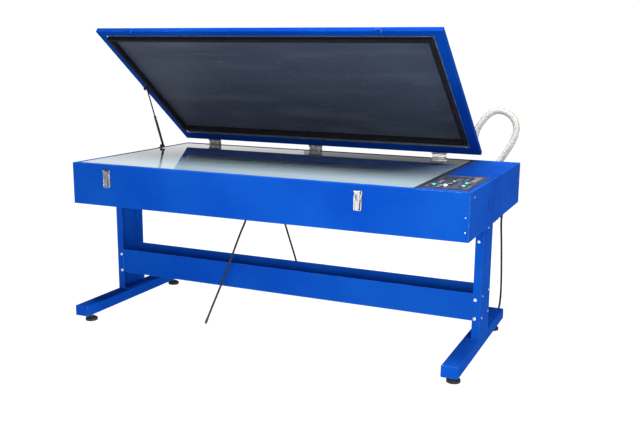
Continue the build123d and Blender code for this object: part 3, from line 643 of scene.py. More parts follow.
def board_finish():
    """Green solder mask with lighter tracks under it."""
    finish, tree, shader = new_finish("board_green", (0.010, 0.110, 0.045), 0.3)
    tracks = node(tree, "TexBrick", {"Vector": node(tree, "TexCoord").outputs["Object"], "Scale": 90.0,
                                     "Mortar Size": 0.06, "Color1": (0, 0, 0, 1), "Color2": (0, 0, 0, 1),
                                     "Mortar": WHITE}, offset=0.3)
    green = blended(tree, (0.010, 0.110, 0.045), (0.03, 0.25, 0.10), tracks.outputs["Fac"])
    tree.links.new(green, shader.inputs["Base Color"])
    relief(tree, shader, tracks.outputs["Fac"], 0.0001, 0.4)
    return finish


dress(board_finish(), "control_board")


def moulded(name, colour, roughness, size):
    """Injection-moulded plastic with a spark-eroded texture."""
    finish, tree, shader = new_finish(name, colour, roughness)
    cloud = mottled(tree, 0.05, 0.3, 0.8)
    worn_and_highlit = place_effect(tree, EDGE_WEAR_AND_HIGHLIGHT, Radius=0.0005, Amount=0.5)
    grain = grained(tree, size, 2.0)
    layered(tree, shader, colour, ((shaded(colour, 1.25, 0.004), cloud), (shaded(colour, 1.6, 0.03), worn_and_highlit)),
            (roughness - 0.06, roughness + 0.08, cloud), (grain, size * 0.15, 0.5), worn_and_highlit["Normal"])
    return finish


fan_plastic = moulded("fan_plastic", (0.020, 0.020, 0.022), 0.42, 0.0005)
dress(fan_plastic, "fan_frame", "fan_rotor")
pump_paint = enamel("pump_casting_paint", (0.10, 0.11, 0.12), 0.42)
dress(pump_paint, "vacuum_pump")


# ---- Table glass and its seal --------------------------------------------------------------------------
# One pane of 10 mm float glass with ground edges lies on the welded ledge, level with the rim. It looks
# mostly pale and hazy and only a little clear. An extruded rubber strip fills the gap round it.
PANE_LOW = (-1.048, -0.530, 0.870)
PANE_HIGH = (0.810, 0.512, 0.880)
PANE_ARRIS = 0.0010
float_glass, glass_tree, glass_shader = new_finish("float_glass", (0.28, 0.36, 0.41), 0.015)
glass_shader.inputs["Transmission Weight"].default_value = 0.08
glass_shader.inputs["IOR"].default_value = 1.52
wiped = mottled(glass_tree, 0.16, 0.45, 0.95, (0.35, 1.6, 1.0))
glass_tree.links.new(between(glass_tree, 0.010, 0.060, wiped["Mask"]), glass_shader.inputs["Roughness"])
ripple = grained(glass_tree, 0.35, 0.0, (0.3, 1.0, 1.0))
relief(glass_tree, glass_shader, ripple["Height"], 0.0003, 0.3)
pane = bmesh.new()
slab(pane, PANE_LOW, PANE_HIGH, PANE_ARRIS)
table_pane = collect("table_pane", pane, float_glass, "base", smooth=False)
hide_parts("glass_plate")
gasket_rubber = rubber("gasket_rubber", (0.012, 0.014, 0.017), 0.50, 0.0008)
dress(gasket_rubber, "glass_gasket")


# ---- Control panel ---------------------------------------------------------------------------------
# A dark screen-printed plate carries three lit push buttons, a rocker, a timer and its knob. The
# printing is generic: scale marks, borders, small symbols and a pale bare field at the right.
PANEL_TOP = 0.8825
PRINT = 0.00012            # height of the printed ink
LINE = 0.0009              # width of a printed line
BUTTONS = {"start_button": (0.873, -0.424), "vacuum_button": (1.008, -0.418), "light_button": (1.004, -0.331)}
KNOB_AT = (0.931, -0.440)
TIMER_AT = (0.936, -0.341)
panel_print = moulded("panel_print", (0.014, 0.020, 0.045), 0.36, 0.0006)
dress(panel_print, "control_panel")
white_ink = enamel("white_ink", (0.62, 0.66, 0.72), 0.4)
pale_plate = enamel("pale_plate", (0.17, 0.15, 0.15), 0.40)
ink = bmesh.new()


def mark(x, y, wide, deep, turn=0.0, slot=0):
    """One printed bar, centred at a place of the plate and turned."""
    corners = []
    for sx, sy in ((-1, -1), (1, -1), (1, 1), (-1, 1)):
        dx, dy = sx * wide / 2, sy * deep / 2
        corners.append((x + dx * math.cos(turn) - dy * math.sin(turn),
                        y + dx * math.sin(turn) + dy * math.cos(turn)))
    low = [ink.verts.new((*corner, PANEL_TOP + 0.00002)) for corner in corners]
    high = [ink.verts.new((*corner, PANEL_TOP + PRINT)) for corner in corners]
    ink.faces.new(high).material_index = slot
    ink.faces.new(reversed(low)).material_index = slot
    for step in range(4):
        follow = (step + 1) % 4
        ink.faces.new((low[step], low[follow], high[follow], high[step])).material_index = slot


for x0, x1, y0, y1 in ((0.848, 0.900, -0.470, -0.392), (0.980, 1.034, -0.464, -0.296),
                       (0.904, 0.966, -0.476, -0.282), (0.848, 0.898, -0.262, -0.186)):
    for y in (y0, y1):
        mark((x0 + x1) / 2, y, x1 - x0, LINE)
    for x in (x0, x1):
        mark(x, (y0 + y1) / 2, LINE, y1 - y0)
for step in range(15):
    turn = math.radians(-140 + 20 * step) + math.pi / 2
    reach, long = (0.0168, 0.0030) if step % 2 else (0.0176, 0.0048)
    mark(KNOB_AT[0] + reach * math.cos(turn), KNOB_AT[1] + reach * math.sin(turn), long, LINE, turn)
for x, y in BUTTONS.values():
    mark(x, y + 0.0225, 0.0150, 0.0024)
    mark(x - 0.0040, y + 0.0280, 0.0060, 0.0016)
    mark(x + 0.0050, y + 0.0280, 0.0040, 0.0016)
for row in range(5):
    mark(0.872 + 0.004 * (row % 2), -0.342 + 0.016 * row, 0.020 - 0.003 * (row % 3), 0.0028)
    mark(0.936 + 0.003 * (row % 2), -0.250 + 0.014 * row, 0.026 - 0.004 * (row % 2), 0.0022)
    mark(0.975, -0.262 + 0.022 * row, 0.012, 0.0030)
mark(0.948, -0.120, 0.150, 0.0016)
mark(0.948, -0.112, 0.190, 0.0008)
mark(1.0130, -0.205, 0.0300, 0.150, slot=1)
panel_marks = collect("panel_marks", ink, (white_ink, pale_plate), "base", smooth=False)


def lit_plastic(name, colour, glow):
    """Clear coloured button plastic with a weak lamp behind it."""
    finish, tree, shader = new_finish(name, colour, 0.22)
    cloud = mottled(tree, 0.006, 0.3, 0.8)
    ribs = grained(tree, 0.0007, 0.0)
    shader.inputs["Emission Color"].default_value = (*colour, 1.0)
    shader.inputs["Emission Strength"].default_value = glow
    shader.inputs["Coat Weight"].default_value = 0.5
    layered(tree, shader, colour, ((shaded(colour, 1.3, 0.02), cloud),), None, (ribs, 0.00005, 0.4))
    return finish


button_green = lit_plastic("button_green", (0.0, 0.42, 0.26), 0.35)
bezel_plastic = moulded("bezel_plastic", (0.018, 0.018, 0.022), 0.30, 0.0004)
dress(bezel_plastic, "switch_housings", "power_rocker")
for name, (x, y) in BUTTONS.items():
    cap = bmesh.new()
    turned(cap, [(0, 0.868), (0.0090, 0.868), (0.0090, 0.8872), (0.0086, 0.8882), (0.0078, 0.8889),
                 (0.0066, 0.8890), (0.0060, 0.8884), (0.0030, 0.8880), (0, 0.8879)], (x, y, 0), around=40)
    piece = collect(f"{name}_cap", cap, button_green, name)
    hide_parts(name)
    collar = bmesh.new()
    turned(collar, [(0.0126, 0.0024), (0.0140, 0.0024), (0.0137, 0.0034), (0.0120, 0.0040), (0.0104, 0.0036),
                    (0.0100, 0.0024)], (x, y, PANEL_TOP), around=40, loop=True)
    collect(f"{name}_collar", collar, plated_bolt, "base")

# The timer is a glossy black module with a bright frame, a dark display of plain digits and four keys.
TIMER_HALF = (0.0098, 0.0488)      # half width and half length of its bright frame
timer_black = moulded("timer_black", (0.010, 0.010, 0.014), 0.12, 0.0010)
dress(timer_black, "timer_module")
display_dark, display_tree, display_shader = new_finish("display_window", (0.004, 0.006, 0.010), 0.06)
haze = mottled(display_tree, 0.004, 0.3, 0.9)
display_tree.links.new(between(display_tree, 0.04, 0.12, haze["Mask"]), display_shader.inputs["Roughness"])
digit_light = lit_plastic("digit_light", (0.85, 0.90, 0.95), 0.9)
timer = bmesh.new()
frame_top = PANEL_TOP + 0.0030
display_top = PANEL_TOP + 0.0022
pipe(timer, rounded_loop((*TIMER_AT, frame_top), (1, 0, 0), (0, 1, 0), *TIMER_HALF, 0.0024, 4), 0.0006, 6,
     closed=True)
slab(timer, (TIMER_AT[0] - 0.0066, TIMER_AT[1] - 0.0056, PANEL_TOP + 0.0016),
     (TIMER_AT[0] + 0.0066, TIMER_AT[1] + 0.0396, display_top), slot=1)
for digit, bars in enumerate(((-0.0036, 0.0, 0.0036), (-0.0036, 0.0036), (-0.0036, 0.0, 0.0036))):
    for bar in bars:
        x = TIMER_AT[0] + bar
        y = TIMER_AT[1] + 0.0030 + 0.0125 * digit
        slab(timer, (x - 0.0004, y, display_top), (x + 0.0004, y + 0.0070, display_top + 0.00015), slot=2)
for key in range(4):
    y = TIMER_AT[1] - 0.0150 - 0.0090 * key
    slab(timer, (TIMER_AT[0] - 0.0055, y - 0.0032, frame_top - 0.0002),
         (TIMER_AT[0] + 0.0055, y + 0.0032, frame_top + 0.0009), 0.0004, slot=3)
key_grey = moulded("key_grey", (0.30, 0.32, 0.35), 0.4, 0.0004)
timer_face = collect("timer_face", timer, (plated_bolt, display_dark, digit_light, key_grey), "base")

# The knob is turned aluminium on a steel shaft, knurled for the fingers, with a white pointer line.
knob = bmesh.new()
turned(knob, [(0, 0.862), (0.0030, 0.862), (0.0030, PANEL_TOP + 0.0004), (0.0084, PANEL_TOP + 0.0004),
              (0.0089, PANEL_TOP + 0.0010), (0.0089, PANEL_TOP + 0.0106), (0.0081, PANEL_TOP + 0.0120),
              (0.0068, PANEL_TOP + 0.0124), (0.0060, PANEL_TOP + 0.0119), (0, PANEL_TOP + 0.0117)],
       (*KNOB_AT, 0), around=48)
for spoke in spokes(36):
    spot = Vector((*KNOB_AT, PANEL_TOP)) + spoke * 0.0088
    pipe(knob, [spot + Vector((0, 0, 0.0014)), spot + Vector((0, 0, 0.0102))], 0.00035, 5)
slab(knob, (KNOB_AT[0] - 0.0005, KNOB_AT[1] - 0.0078, PANEL_TOP + 0.0120),
     (KNOB_AT[0] + 0.0005, KNOB_AT[1] - 0.0022, PANEL_TOP + 0.0128), slot=1)
knob_metal = plated("knob_aluminium", (0.66, 0.67, 0.69), 0.25, (0.58, 0.59, 0.62), (1.0, 1.0, 8.0))
knurled_knob = collect("knurled_knob", knob, (knob_metal, white_ink), "timer_knob")
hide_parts("timer_knob")


# ---- Lid shell and its stiffeners --------------------------------------------------------------------
# A shallow folded tray, open in the middle of its underside, in the same blue, darkened as painted shade.
# Three hat sections are welded across its inside, over the blanket. It stands open at 37 degrees from
# the rear hinges.
LID_AXIS = (0.5518, 0.9065)        # y and z of the hinge line
LID_TURN = math.radians(37.0)
# The lid's powder is the blue powder coat made darker: the darkening is painted shade.
lid_powder_painted_shade = powder_coat("lid_powder_coat_painted_shade", (0.001, 0.024, 0.19), (0.002, 0.036, 0.22), 0.38, 0.05)
dress(lid_powder_painted_shade, "lid_shell", "latch_keepers")
bare_steel = plated("brushed_stiffener", (0.50, 0.51, 0.52), 0.42, (0.44, 0.45, 0.47), (1.0, 0.1, 1.0))
dress(bare_steel, "lid_stiffeners")


def lid_at(x, v, w):
    """Place of a point of the open lid: v behind and w above the hinge line in the closed lid."""
    return Vector((x, LID_AXIS[0] + v * math.cos(LID_TURN) + w * math.sin(LID_TURN),
                   LID_AXIS[1] - v * math.sin(LID_TURN) + w * math.cos(LID_TURN)))


LID_UP = lid_at(0, 0, 1) - lid_at(0, 0, 0)
LID_BACK = lid_at(0, 1, 0) - lid_at(0, 0, 0)


# ---- Vacuum blanket ----------------------------------------------------------------------------------
# A 3 mm sheet of charcoal rubber, clamped all round under flat bars and hanging a little between them.
# Years of frames have left faint chalky smears along it. A sealing bead runs round inside its edge.
BLANKET_X = (-1.046, 0.832)
BLANKET_V = (-1.0818, -0.062)
BLANKET_W = (0.0040, 0.0070)
SAG = 0.0022
HELD_EDGE = 0.062          # the border that the bars and the lid's lip keep flat
SAG_REACH = 0.16           # from there to where it hangs freely
blanket_rubber, blanket_tree, blanket_shader = new_finish("blanket_rubber", (0.026, 0.033, 0.050), 0.60)
slow = mottled(blanket_tree, 0.55, 0.32, 0.72, (0.5, 1.0, 1.0))
wipe = mottled(blanket_tree, 0.10, 0.50, 0.86, (0.22, 1.0, 1.4))
chalk = mottled(blanket_tree, 0.035, 0.62, 0.95, (0.7, 1.0, 1.0))
blanket_grain = grained(blanket_tree, 0.0012, 2.0)
blanket_shader.inputs["Specular IOR Level"].default_value = 0.08
layered(blanket_tree, blanket_shader, (0.022, 0.028, 0.045),
        (((0.036, 0.046, 0.069), slow), ((0.050, 0.061, 0.082), wipe), ((0.085, 0.097, 0.115), chalk)),
        (0.55, 0.72, wipe), (blanket_grain, 0.0002, 0.5))

sheet = bmesh.new()
ACROSS, DOWN = 150, 84
layers = []
for face_w in BLANKET_W:
    rows = []
    for j in range(DOWN + 1):
        row = []
        for i in range(ACROSS + 1):
            x = BLANKET_X[0] + (BLANKET_X[1] - BLANKET_X[0]) * i / ACROSS
            v = BLANKET_V[0] + (BLANKET_V[1] - BLANKET_V[0]) * j / DOWN
            inner = min(x - BLANKET_X[0], BLANKET_X[1] - x, v - BLANKET_V[0], BLANKET_V[1] - v)
            free = min(1.0, max(0.0, (inner - HELD_EDGE) / SAG_REACH))
            free = free * free * (3 - 2 * free)
            wave = (0.50 + 0.18 * math.sin(5.1 * x + 2.0 * math.sin(3.0 * v))
                    + 0.16 * math.sin(9.7 * v + 1.3 * x) + 0.09 * math.sin(21.0 * x - 13.0 * v)
                    + 0.07 * math.sin(33.0 * v + 4.0 * x))
            row.append(sheet.verts.new(lid_at(x, v, face_w - SAG * free * wave)))
        rows.append(row)
    layers.append(rows)
for rows in layers:
    for j in range(DOWN):
        for i in range(ACROSS):
            sheet.faces.new((rows[j][i], rows[j][i + 1], rows[j + 1][i + 1], rows[j + 1][i]))
low, high = layers
for i in range(ACROSS):
    for j in (0, DOWN):
        sheet.faces.new((low[j][i], low[j][i + 1], high[j][i + 1], high[j][i]))
for j in range(DOWN):
    for i in (0, ACROSS):
        sheet.faces.new((low[j][i], low[j + 1][i], high[j + 1][i], high[j][i]))
blanket = collect("rubber_blanket", sheet, blanket_rubber, "lid")
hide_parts("vacuum_blanket")
# The bead's rubber is darker than the other rubbers: partly its own black, partly painted shade for the
# shadowed band just inside the lid's ring.
bead_rubber_with_painted_shade = rubber("bead_rubber_with_painted_shade", (0.004, 0.004, 0.006), 0.70, 0.0010)
dress(bead_rubber_with_painted_shade, "seal_bead")

# Flat aluminium bars press the blanket's edge onto the lid's lip from inside, with a domed screw about
# every 120 mm, and a thin bright trim lines the opening.
bar_aluminium = plated("bar_aluminium", (0.62, 0.64, 0.68), 0.34, (0.55, 0.57, 0.60), (0.1, 1.0, 1.0))
dress(bar_aluminium, "lid_inner_trim", "blanket_clamp_strips")
SCREW_INSET = 0.015        # from the blanket's edge
SCREW_RADIUS = 0.0040
screws = bmesh.new()


def domed_screws(shape, gaps, start, stop):
    """A row of domed screw heads on the lid, evenly from one (x, v) to another."""
    for step in range(gaps + 1):
        x, v = (first + (last - first) * step / gaps for first, last in zip(start, stop))
        turned(shape, [(0, -0.0004), (SCREW_RADIUS, -0.0004), (SCREW_RADIUS, 0), (0.0034, 0.00112),
                       (0.0020, 0.0018), (0, 0.0020)], lid_at(x, v, 0.0100), LID_UP, 20)


for v in (BLANKET_V[0] + SCREW_INSET, BLANKET_V[1] - SCREW_INSET):
    domed_screws(screws, 15, (BLANKET_X[0] + 0.03, v), (BLANKET_X[1] - 0.03, v))
for x in (BLANKET_X[0] + SCREW_INSET, BLANKET_X[1] - SCREW_INSET):
    domed_screws(screws, 7, (x, BLANKET_V[0] + 0.08), (x, BLANKET_V[1] - 0.08))
bar_screws = collect("bar_screws", screws, plated_bolt, "lid")


# ---- Hinges ------------------------------------------------------------------------------------------
# Three heavy butt hinges of plated steel: risers bolted to the rear rim, leaves bolted to the lid and
# a headed pin through five knuckles each.
hinge_zinc = plated("hinge_zinc", (0.34, 0.35, 0.36), 0.34, (0.34, 0.32, 0.28), (0.15, 1.0, 1.0))
dress(hinge_zinc, "hinge_risers", "hinge_leaves", "hinge_pins")
HINGE_X = (-0.868, -0.158, 0.618)
riser_bolts = bmesh.new()
leaf_bolts = bmesh.new()
for centre in HINGE_X:
    for x in (-0.028, 0.028):
        socket_bolt(riser_bolts, (centre + x, 0.536, 0.8854), (0, 0, 1), 0.0048, 0.0028)
    for x in (-0.028, 0.0, 0.028):
        socket_bolt(leaf_bolts, lid_at(centre + x, -0.0046, 0.014), LID_BACK, 0.0038, 0.0020)
collect("riser_bolts", riser_bolts, plated_bolt, "base")
collect("leaf_bolts", leaf_bolts, plated_bolt, "lid")


# ---- Gas strut ---------------------------------------------------------------------------------------
# A black gas spring holds the lid: a drawn tube with rolled grooves, a nitrided rod and pressed eyes on
# steel studs. Its brackets are bolted to the left rim and to the lid.
STRUT_BASE_Y = 0.228
STRUT_LOW = Vector((-1.043, STRUT_BASE_Y, 0.892))
STRUT_HIGH = lid_at(-1.043, -0.5812, -0.0145)
strut_line = (STRUT_HIGH - STRUT_LOW).normalized()
strut_long = (STRUT_HIGH - STRUT_LOW).length
EYE = [(0.0064, -0.0074), (0.0074, -0.0062), (0.0074, 0.0062), (0.0064, 0.0074)]


def gloss_black(name, colour, roughness):
    """Wet black paint on a drawn tube: faint draw lines and small scuffs."""
    finish, tree, shader = new_finish(name, colour, roughness)
    cloud = mottled(tree, 0.03, 0.4, 0.9)
    scuff = mottled(tree, 0.006, 0.66, 0.9)
    lines = grained(tree, 0.0012, 1.0)
    shader.inputs["Coat Weight"].default_value = 0.4
    layered(tree, shader, colour, (((0.035, 0.036, 0.040), cloud), ((0.16, 0.16, 0.17), scuff)),
            (roughness, roughness + 0.18, cloud), (lines, 0.00005, 0.4))
    return finish


strut_black = gloss_black("strut_black", (0.010, 0.010, 0.012), 0.22)
nitrided = plated("nitrided_rod", (0.07, 0.07, 0.075), 0.20, (0.05, 0.05, 0.06), (1.0, 1.0, 0.2))
barrel = bmesh.new()
turned(barrel, [(0.0040, 0.0055), (0.0056, 0.0060), (0.0062, 0.0090), (0.0070, 0.0110), (0.0075, 0.0140),
                (0.0075, 0.0440), (0.0070, 0.0452), (0.0070, 0.0462), (0.0075, 0.0474), (0.0075, 0.1860),
                (0.0069, 0.1874), (0.0069, 0.1890), (0.0075, 0.1904), (0.0075, 0.2010), (0.0068, 0.2042),
                (0.0048, 0.2049), (0.0041, 0.2049)], STRUT_LOW, strut_line, 32)
turned(barrel, [(0.00405, -0.0074), *EYE, (0.00405, 0.0074)], STRUT_LOW, (1, 0, 0), 28, loop=True)
barrel_piece = collect("gas_spring_barrel", barrel, strut_black, "strut_cylinder")
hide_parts("strut_cylinder")
piston = bmesh.new()
turned(piston, [(0, 0.1660), (0.0040, 0.1660), (0.0040, strut_long - 0.0160), (0.0052, strut_long - 0.0150),
                (0.0052, strut_long - 0.0070), (0.0038, strut_long - 0.0062)], STRUT_LOW, strut_line, 24)
turned(piston, [(0, -0.0074), *EYE, (0, 0.0074)], STRUT_HIGH, (1, 0, 0), 28)
piston_piece = collect("gas_spring_rod", piston, nitrided, "strut_rod")
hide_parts("strut_rod")
dress(strut_black, "strut_base_bracket", "strut_lid_bracket")
strut_bolt = bmesh.new()
for y in (-0.0095, 0.0095):
    socket_bolt(strut_bolt, (-1.0675, STRUT_BASE_Y + y, 0.883), (0, 0, 1), 0.0034, 0.0024)
collect("strut_bolts", strut_bolt, plated_bolt, "base")


# ---- Draw latches -----------------------------------------------------------------------------------
# Two pressed-steel latches on the front: a riveted base with two cheeks, a lever and a bent wire bail
# that hooks over the keeper of the closed lid.
latch_zinc = plated("latch_zinc", (0.30, 0.31, 0.32), 0.36, (0.27, 0.27, 0.26), (1.0, 1.0, 0.2))
wire_zinc = plated("wire_zinc", (0.50, 0.51, 0.53), 0.26, (0.45, 0.44, 0.40), (1.0, 1.0, 1.0))
dress(latch_zinc, "latch_bases", "latch_lever_left", "latch_lever_right")
dress(wire_zinc, "latch_bail_left", "latch_bail_right")
LATCH_X = (-0.851, 0.559)
base_rivets = bmesh.new()
keeper_rivets = bmesh.new()
for centre in LATCH_X:
    for x, z in ((-0.0135, 0.774), (0.0135, 0.774), (-0.0165, 0.834), (0.0165, 0.834)):
        turned(base_rivets, [(0, 0), (0.0026, 0), (0.0023, 0.0008), (0.0012, 0.0013), (0, 0.0014)],
               (centre + x, -0.562, z), (0, -1, 0), 16)
    for x in (-0.0153, 0.0153):
        turned(base_rivets, [(0, 0), (0.0042, 0), (0.0040, 0.00018), (0, 0.00024)],
               (centre + x, -0.571, 0.846), (math.copysign(1, x), 0, 0), 16)
    for x in (-0.006, 0.006):
        turned(keeper_rivets, [(0, 0), (0.0022, 0), (0.0019, 0.0007), (0.0010, 0.0011), (0, 0.0012)],
               lid_at(centre + x, -1.1008, 0.008), -LID_BACK, 16)
collect("latch_rivets", base_rivets, latch_zinc, "base")
collect("keeper_rivets", keeper_rivets, lid_powder_painted_shade, "lid")


# ---- Vacuum hose -------------------------------------------------------------------------------------
# A white PVC hose of 38 mm with moulded ribs runs from the elbow on the rear wall in one high loop to
# the lid. A soft cuff and a worm-drive clip hold each end.
ELBOW_AT = (0.930, 0.584)
PORT_AT = (0.826, -0.088)          # x and v of the lid's suction port
HOSE_ROUTE = ((*ELBOW_AT, 0.772), (*ELBOW_AT, 0.806), (0.940, 0.583, 0.845), (0.961, 0.582, 0.884),
              (0.985, 0.582, 0.923), (1.008, 0.582, 0.961), (1.028, 0.583, 1.002), (1.041, 0.584, 1.047),
              (1.037, 0.585, 1.092), (1.013, 0.586, 1.130), (0.973, 0.586, 1.155), (0.927, 0.584, 1.160),
              (0.886, 0.579, 1.138), (0.858, 0.568, 1.106), (0.838, 0.556, 1.072),
              tuple(lid_at(*PORT_AT, 0.1025)), tuple(lid_at(*PORT_AT, 0.0445)))
HOSE_RADIUS = 0.019
CLIP_RADIUS = 0.0212
RIB_PITCH = 0.0052
RIB_DEPTH = 0.0015


def smooth_curve(name, route, steps):
    """The smooth curve that a route of control points draws."""
    data = bpy.data.curves.new(name, "CURVE")
    data.dimensions = "3D"
    data.resolution_u = steps
    spline = data.splines.new("NURBS")
    spline.points.add(len(route) - 1)
    for point, place in zip(spline.points, route):
        point.co = (*place, 1.0)
    spline.order_u = 3
    spline.use_endpoint_u = True
    return data


def route_line(name, route, steps):
    """Points read along the smooth curve of a route."""
    data = smooth_curve(name, route, steps)
    drawn = bpy.data.objects.new(name, data)
    traced = bpy.data.meshes.new_from_object(drawn)
    points = [vert.co.copy() for vert in traced.vertices]
    bpy.data.meshes.remove(traced)
    bpy.data.objects.remove(drawn)
    bpy.data.curves.remove(data)
    return points


def spaced(points, gap):
    """The same line with a point every so often, its last point kept; gives it with its length."""
    lengths = [0.0]
    for before, after in zip(points, points[1:]):
        lengths.append(lengths[-1] + (after - before).length)
    count = max(2, round(lengths[-1] / gap))
    result = []
    at = 0
    for step in range(count + 1):
        wanted = lengths[-1] * step / count
        while at < len(lengths) - 2 and lengths[at + 1] < wanted:
            at += 1
        share = (wanted - lengths[at]) / max(1e-9, lengths[at + 1] - lengths[at])
        result.append(points[at].lerp(points[at + 1], min(1.0, share)))
    return result, lengths[-1]


def soft_plastic(name, colour, roughness):
    """Flexible white plastic: translucent skin, slow yellowing and grime in small patches."""
    finish, tree, shader = new_finish(name, colour, roughness)
    cloud = mottled(tree, 0.12, 0.3, 0.75)
    grime = mottled(tree, 0.02, 0.55, 0.9)
    aged = tuple(channel * shade for channel, shade in zip(colour, (0.98, 0.95, 0.86)))
    skin = grained(tree, 0.0012, 1.0)
    shader.inputs["Subsurface Weight"].default_value = 0.15
    shader.inputs["Subsurface Radius"].default_value = (0.004, 0.004, 0.003)
    layered(tree, shader, colour, ((aged, cloud), ((0.22, 0.22, 0.215), grime)),
            (roughness - 0.05, roughness + 0.1, cloud), (skin, 0.00008, 0.4))
    return finish


hose_white = soft_plastic("hose_white", (0.34, 0.34, 0.335), 0.46)
hose_line, hose_long = spaced(route_line("hose_route", HOSE_ROUTE, 24), RIB_PITCH / 4)
hose = bmesh.new()
cuff_ends = (0.030, hose_long - 0.024)
wide = []
for step in range(len(hose_line)):
    along = hose_long * step / (len(hose_line) - 1)
    rib = (0.5 - 0.5 * math.cos(2 * math.pi * along / RIB_PITCH)) ** 0.7
    cuffed = along < cuff_ends[0] or along > cuff_ends[1]
    wide.append(HOSE_RADIUS if cuffed else HOSE_RADIUS - RIB_DEPTH * (1 - rib))
pipe(hose, hose_line, wide, 28)
ribbed_hose = collect("ribbed_hose", hose, hose_white, None)
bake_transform(ribbed_hose)
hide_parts("vacuum_hose")
fitting_white = moulded("fitting_white", (0.36, 0.36, 0.355), 0.35, 0.0008)
dress(fitting_white, "hose_elbow", "lid_hose_port")


def worm_clip(name, centre, along, body):
    """A steel band round a hose end, with its screw housing."""
    shape = bmesh.new()
    turned(shape, [(CLIP_RADIUS, -0.0045), (CLIP_RADIUS + 0.0008, -0.0045), (CLIP_RADIUS + 0.0008, 0.0045),
                   (CLIP_RADIUS, 0.0045)], centre, along, 40, loop=True)
    along = Vector(along).normalized()
    side = along.orthogonal().normalized()
    lift = Vector(centre) + side * (CLIP_RADIUS + 0.0040)
    cross = along.cross(side)
    pipe(shape, [lift - cross * 0.0080, lift + cross * 0.0080], 0.0032, 10)
    turned(shape, [(0, 0), (0.0038, 0), (0.0038, 0.0024), (0.0020, 0.0030), (0.0020, 0.0018, 6), (0, 0.0016)],
           lift + cross * 0.0080, cross, 24)
    piece = collect(name, shape, plated_bolt, body)


worm_clip("elbow_clip", (*ELBOW_AT, 0.7600), (0, 0, 1), "base")
worm_clip("port_clip", lid_at(*PORT_AT, 0.0350), LID_UP, "lid")


# ---- Leads -------------------------------------------------------------------------------------------
# Three round rubber leads of 11 mm come down through ribbed, tapered strain reliefs under the cabinet.
# Two end in small round connectors, one just over the floor and one on it. The mains lead lies coiled
# behind the right foot bar.
LEAD_THICK = 0.011
CONNECTOR_LONG = 0.039
FRONT_ROUTE = ((-0.196, -0.247, 0.620), (-0.196, -0.247, 0.602), (-0.207, -0.250, 0.568),
               (-0.223, -0.257, 0.529), (-0.244, -0.267, 0.468), (-0.264, -0.276, 0.408),
               (-0.285, -0.285, 0.344), (-0.310, -0.296, 0.271), (-0.336, -0.306, 0.201),
               (-0.362, -0.316, 0.133), (-0.380, -0.3228, 0.086), (-0.3967, -0.3295, 0.0402))
MIDDLE_ROUTE = ((-0.096, -0.020, 0.620), (-0.096, -0.020, 0.586), (-0.092, -0.002, 0.540),
                (-0.087, 0.028, 0.474), (-0.083, 0.065, 0.400), (-0.081, 0.108, 0.322),
                (-0.084, 0.156, 0.240), (-0.092, 0.210, 0.160), (-0.106, 0.268, 0.084),
                (-0.130, 0.326, 0.032), (-0.166, 0.380, 0.011), (-0.214, 0.430, 0.0062),
                (-0.274, 0.466, 0.0060), (-0.338, 0.480, 0.0076), (-0.398, 0.479, 0.0076))
SIDE_ROUTE = ((1.048, 0.262, 0.620), (1.048, 0.262, 0.586), (1.050, 0.272, 0.530),
              (1.052, 0.285, 0.452), (1.053, 0.300, 0.366), (1.053, 0.319, 0.278),
              (1.050, 0.341, 0.198), (1.044, 0.363, 0.132), (1.034, 0.377, 0.078),
              (1.014, 0.389, 0.036), (0.980, 0.400, 0.013), (0.938, 0.409, 0.0064),
              (0.880, 0.423, 0.0060), (0.819, 0.4405, 0.0060), (0.7603, 0.4589, 0.0060))
COIL_AT = (0.780, 0.520)
COIL_WIDE = 0.063
COIL_TIGHT = 0.041
COIL_TURNS = 4.444         # clockwise, from -110 degrees round to +90 degrees
COIL_INWARD = 2.0          # turns until the coil is at its tightest
COIL_OUTWARD = 2.5         # turns until it has climbed on itself and runs outward
COIL_ENTRY = math.radians(-110.0)
COIL_POINTS = 72
LEAD_REST = 0.0060         # height of a lead's middle on the floor
PLUG_Z = 0.0083            # height of the mains plug's middle


def coil_points():
    """The put-away coil: a spiral inward on the floor, a climb, and a spiral outward on top of it."""
    points = []
    for step in range(1, COIL_POINTS + 1):
        turns = COIL_TURNS * step / COIL_POINTS
        share = min(1.0, turns / COIL_INWARD) - max(0.0, turns - COIL_OUTWARD) / (COIL_TURNS - COIL_OUTWARD)
        radius = COIL_WIDE - (COIL_WIDE - COIL_TIGHT) * share
        climb = min(1.0, max(0.0, (turns - COIL_INWARD) / (COIL_OUTWARD - COIL_INWARD)))
        drop = min(1.0, max(0.0, (turns - COIL_TURNS + 0.2) / 0.2))
        angle = COIL_ENTRY - 2 * math.pi * turns
        points.append((COIL_AT[0] + radius * math.cos(angle), COIL_AT[1] + radius * math.sin(angle),
                       LEAD_REST + LEAD_THICK * climb - (LEAD_REST + LEAD_THICK - PLUG_Z) * drop))
    points += [(COIL_AT[0] + past, COIL_AT[1] + COIL_WIDE, PLUG_Z) for past in (0.0150, 0.0265)]
    return tuple(points)


def rubber_lead(name, route, replaced):
    """A smooth round lead along its route."""
    data = smooth_curve(name, route, 8)
    data.bevel_depth = LEAD_THICK / 2
    data.bevel_resolution = 5
    data.use_fill_caps = True
    data.materials.append(jacket)
    piece = bpy.data.objects.new(name, data)
    bpy.context.scene.collection.objects.link(piece)
    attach(piece, "base")
    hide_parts(*replaced)


connector_black = moulded("connector_black", (0.022, 0.022, 0.026), 0.40, 0.0005)


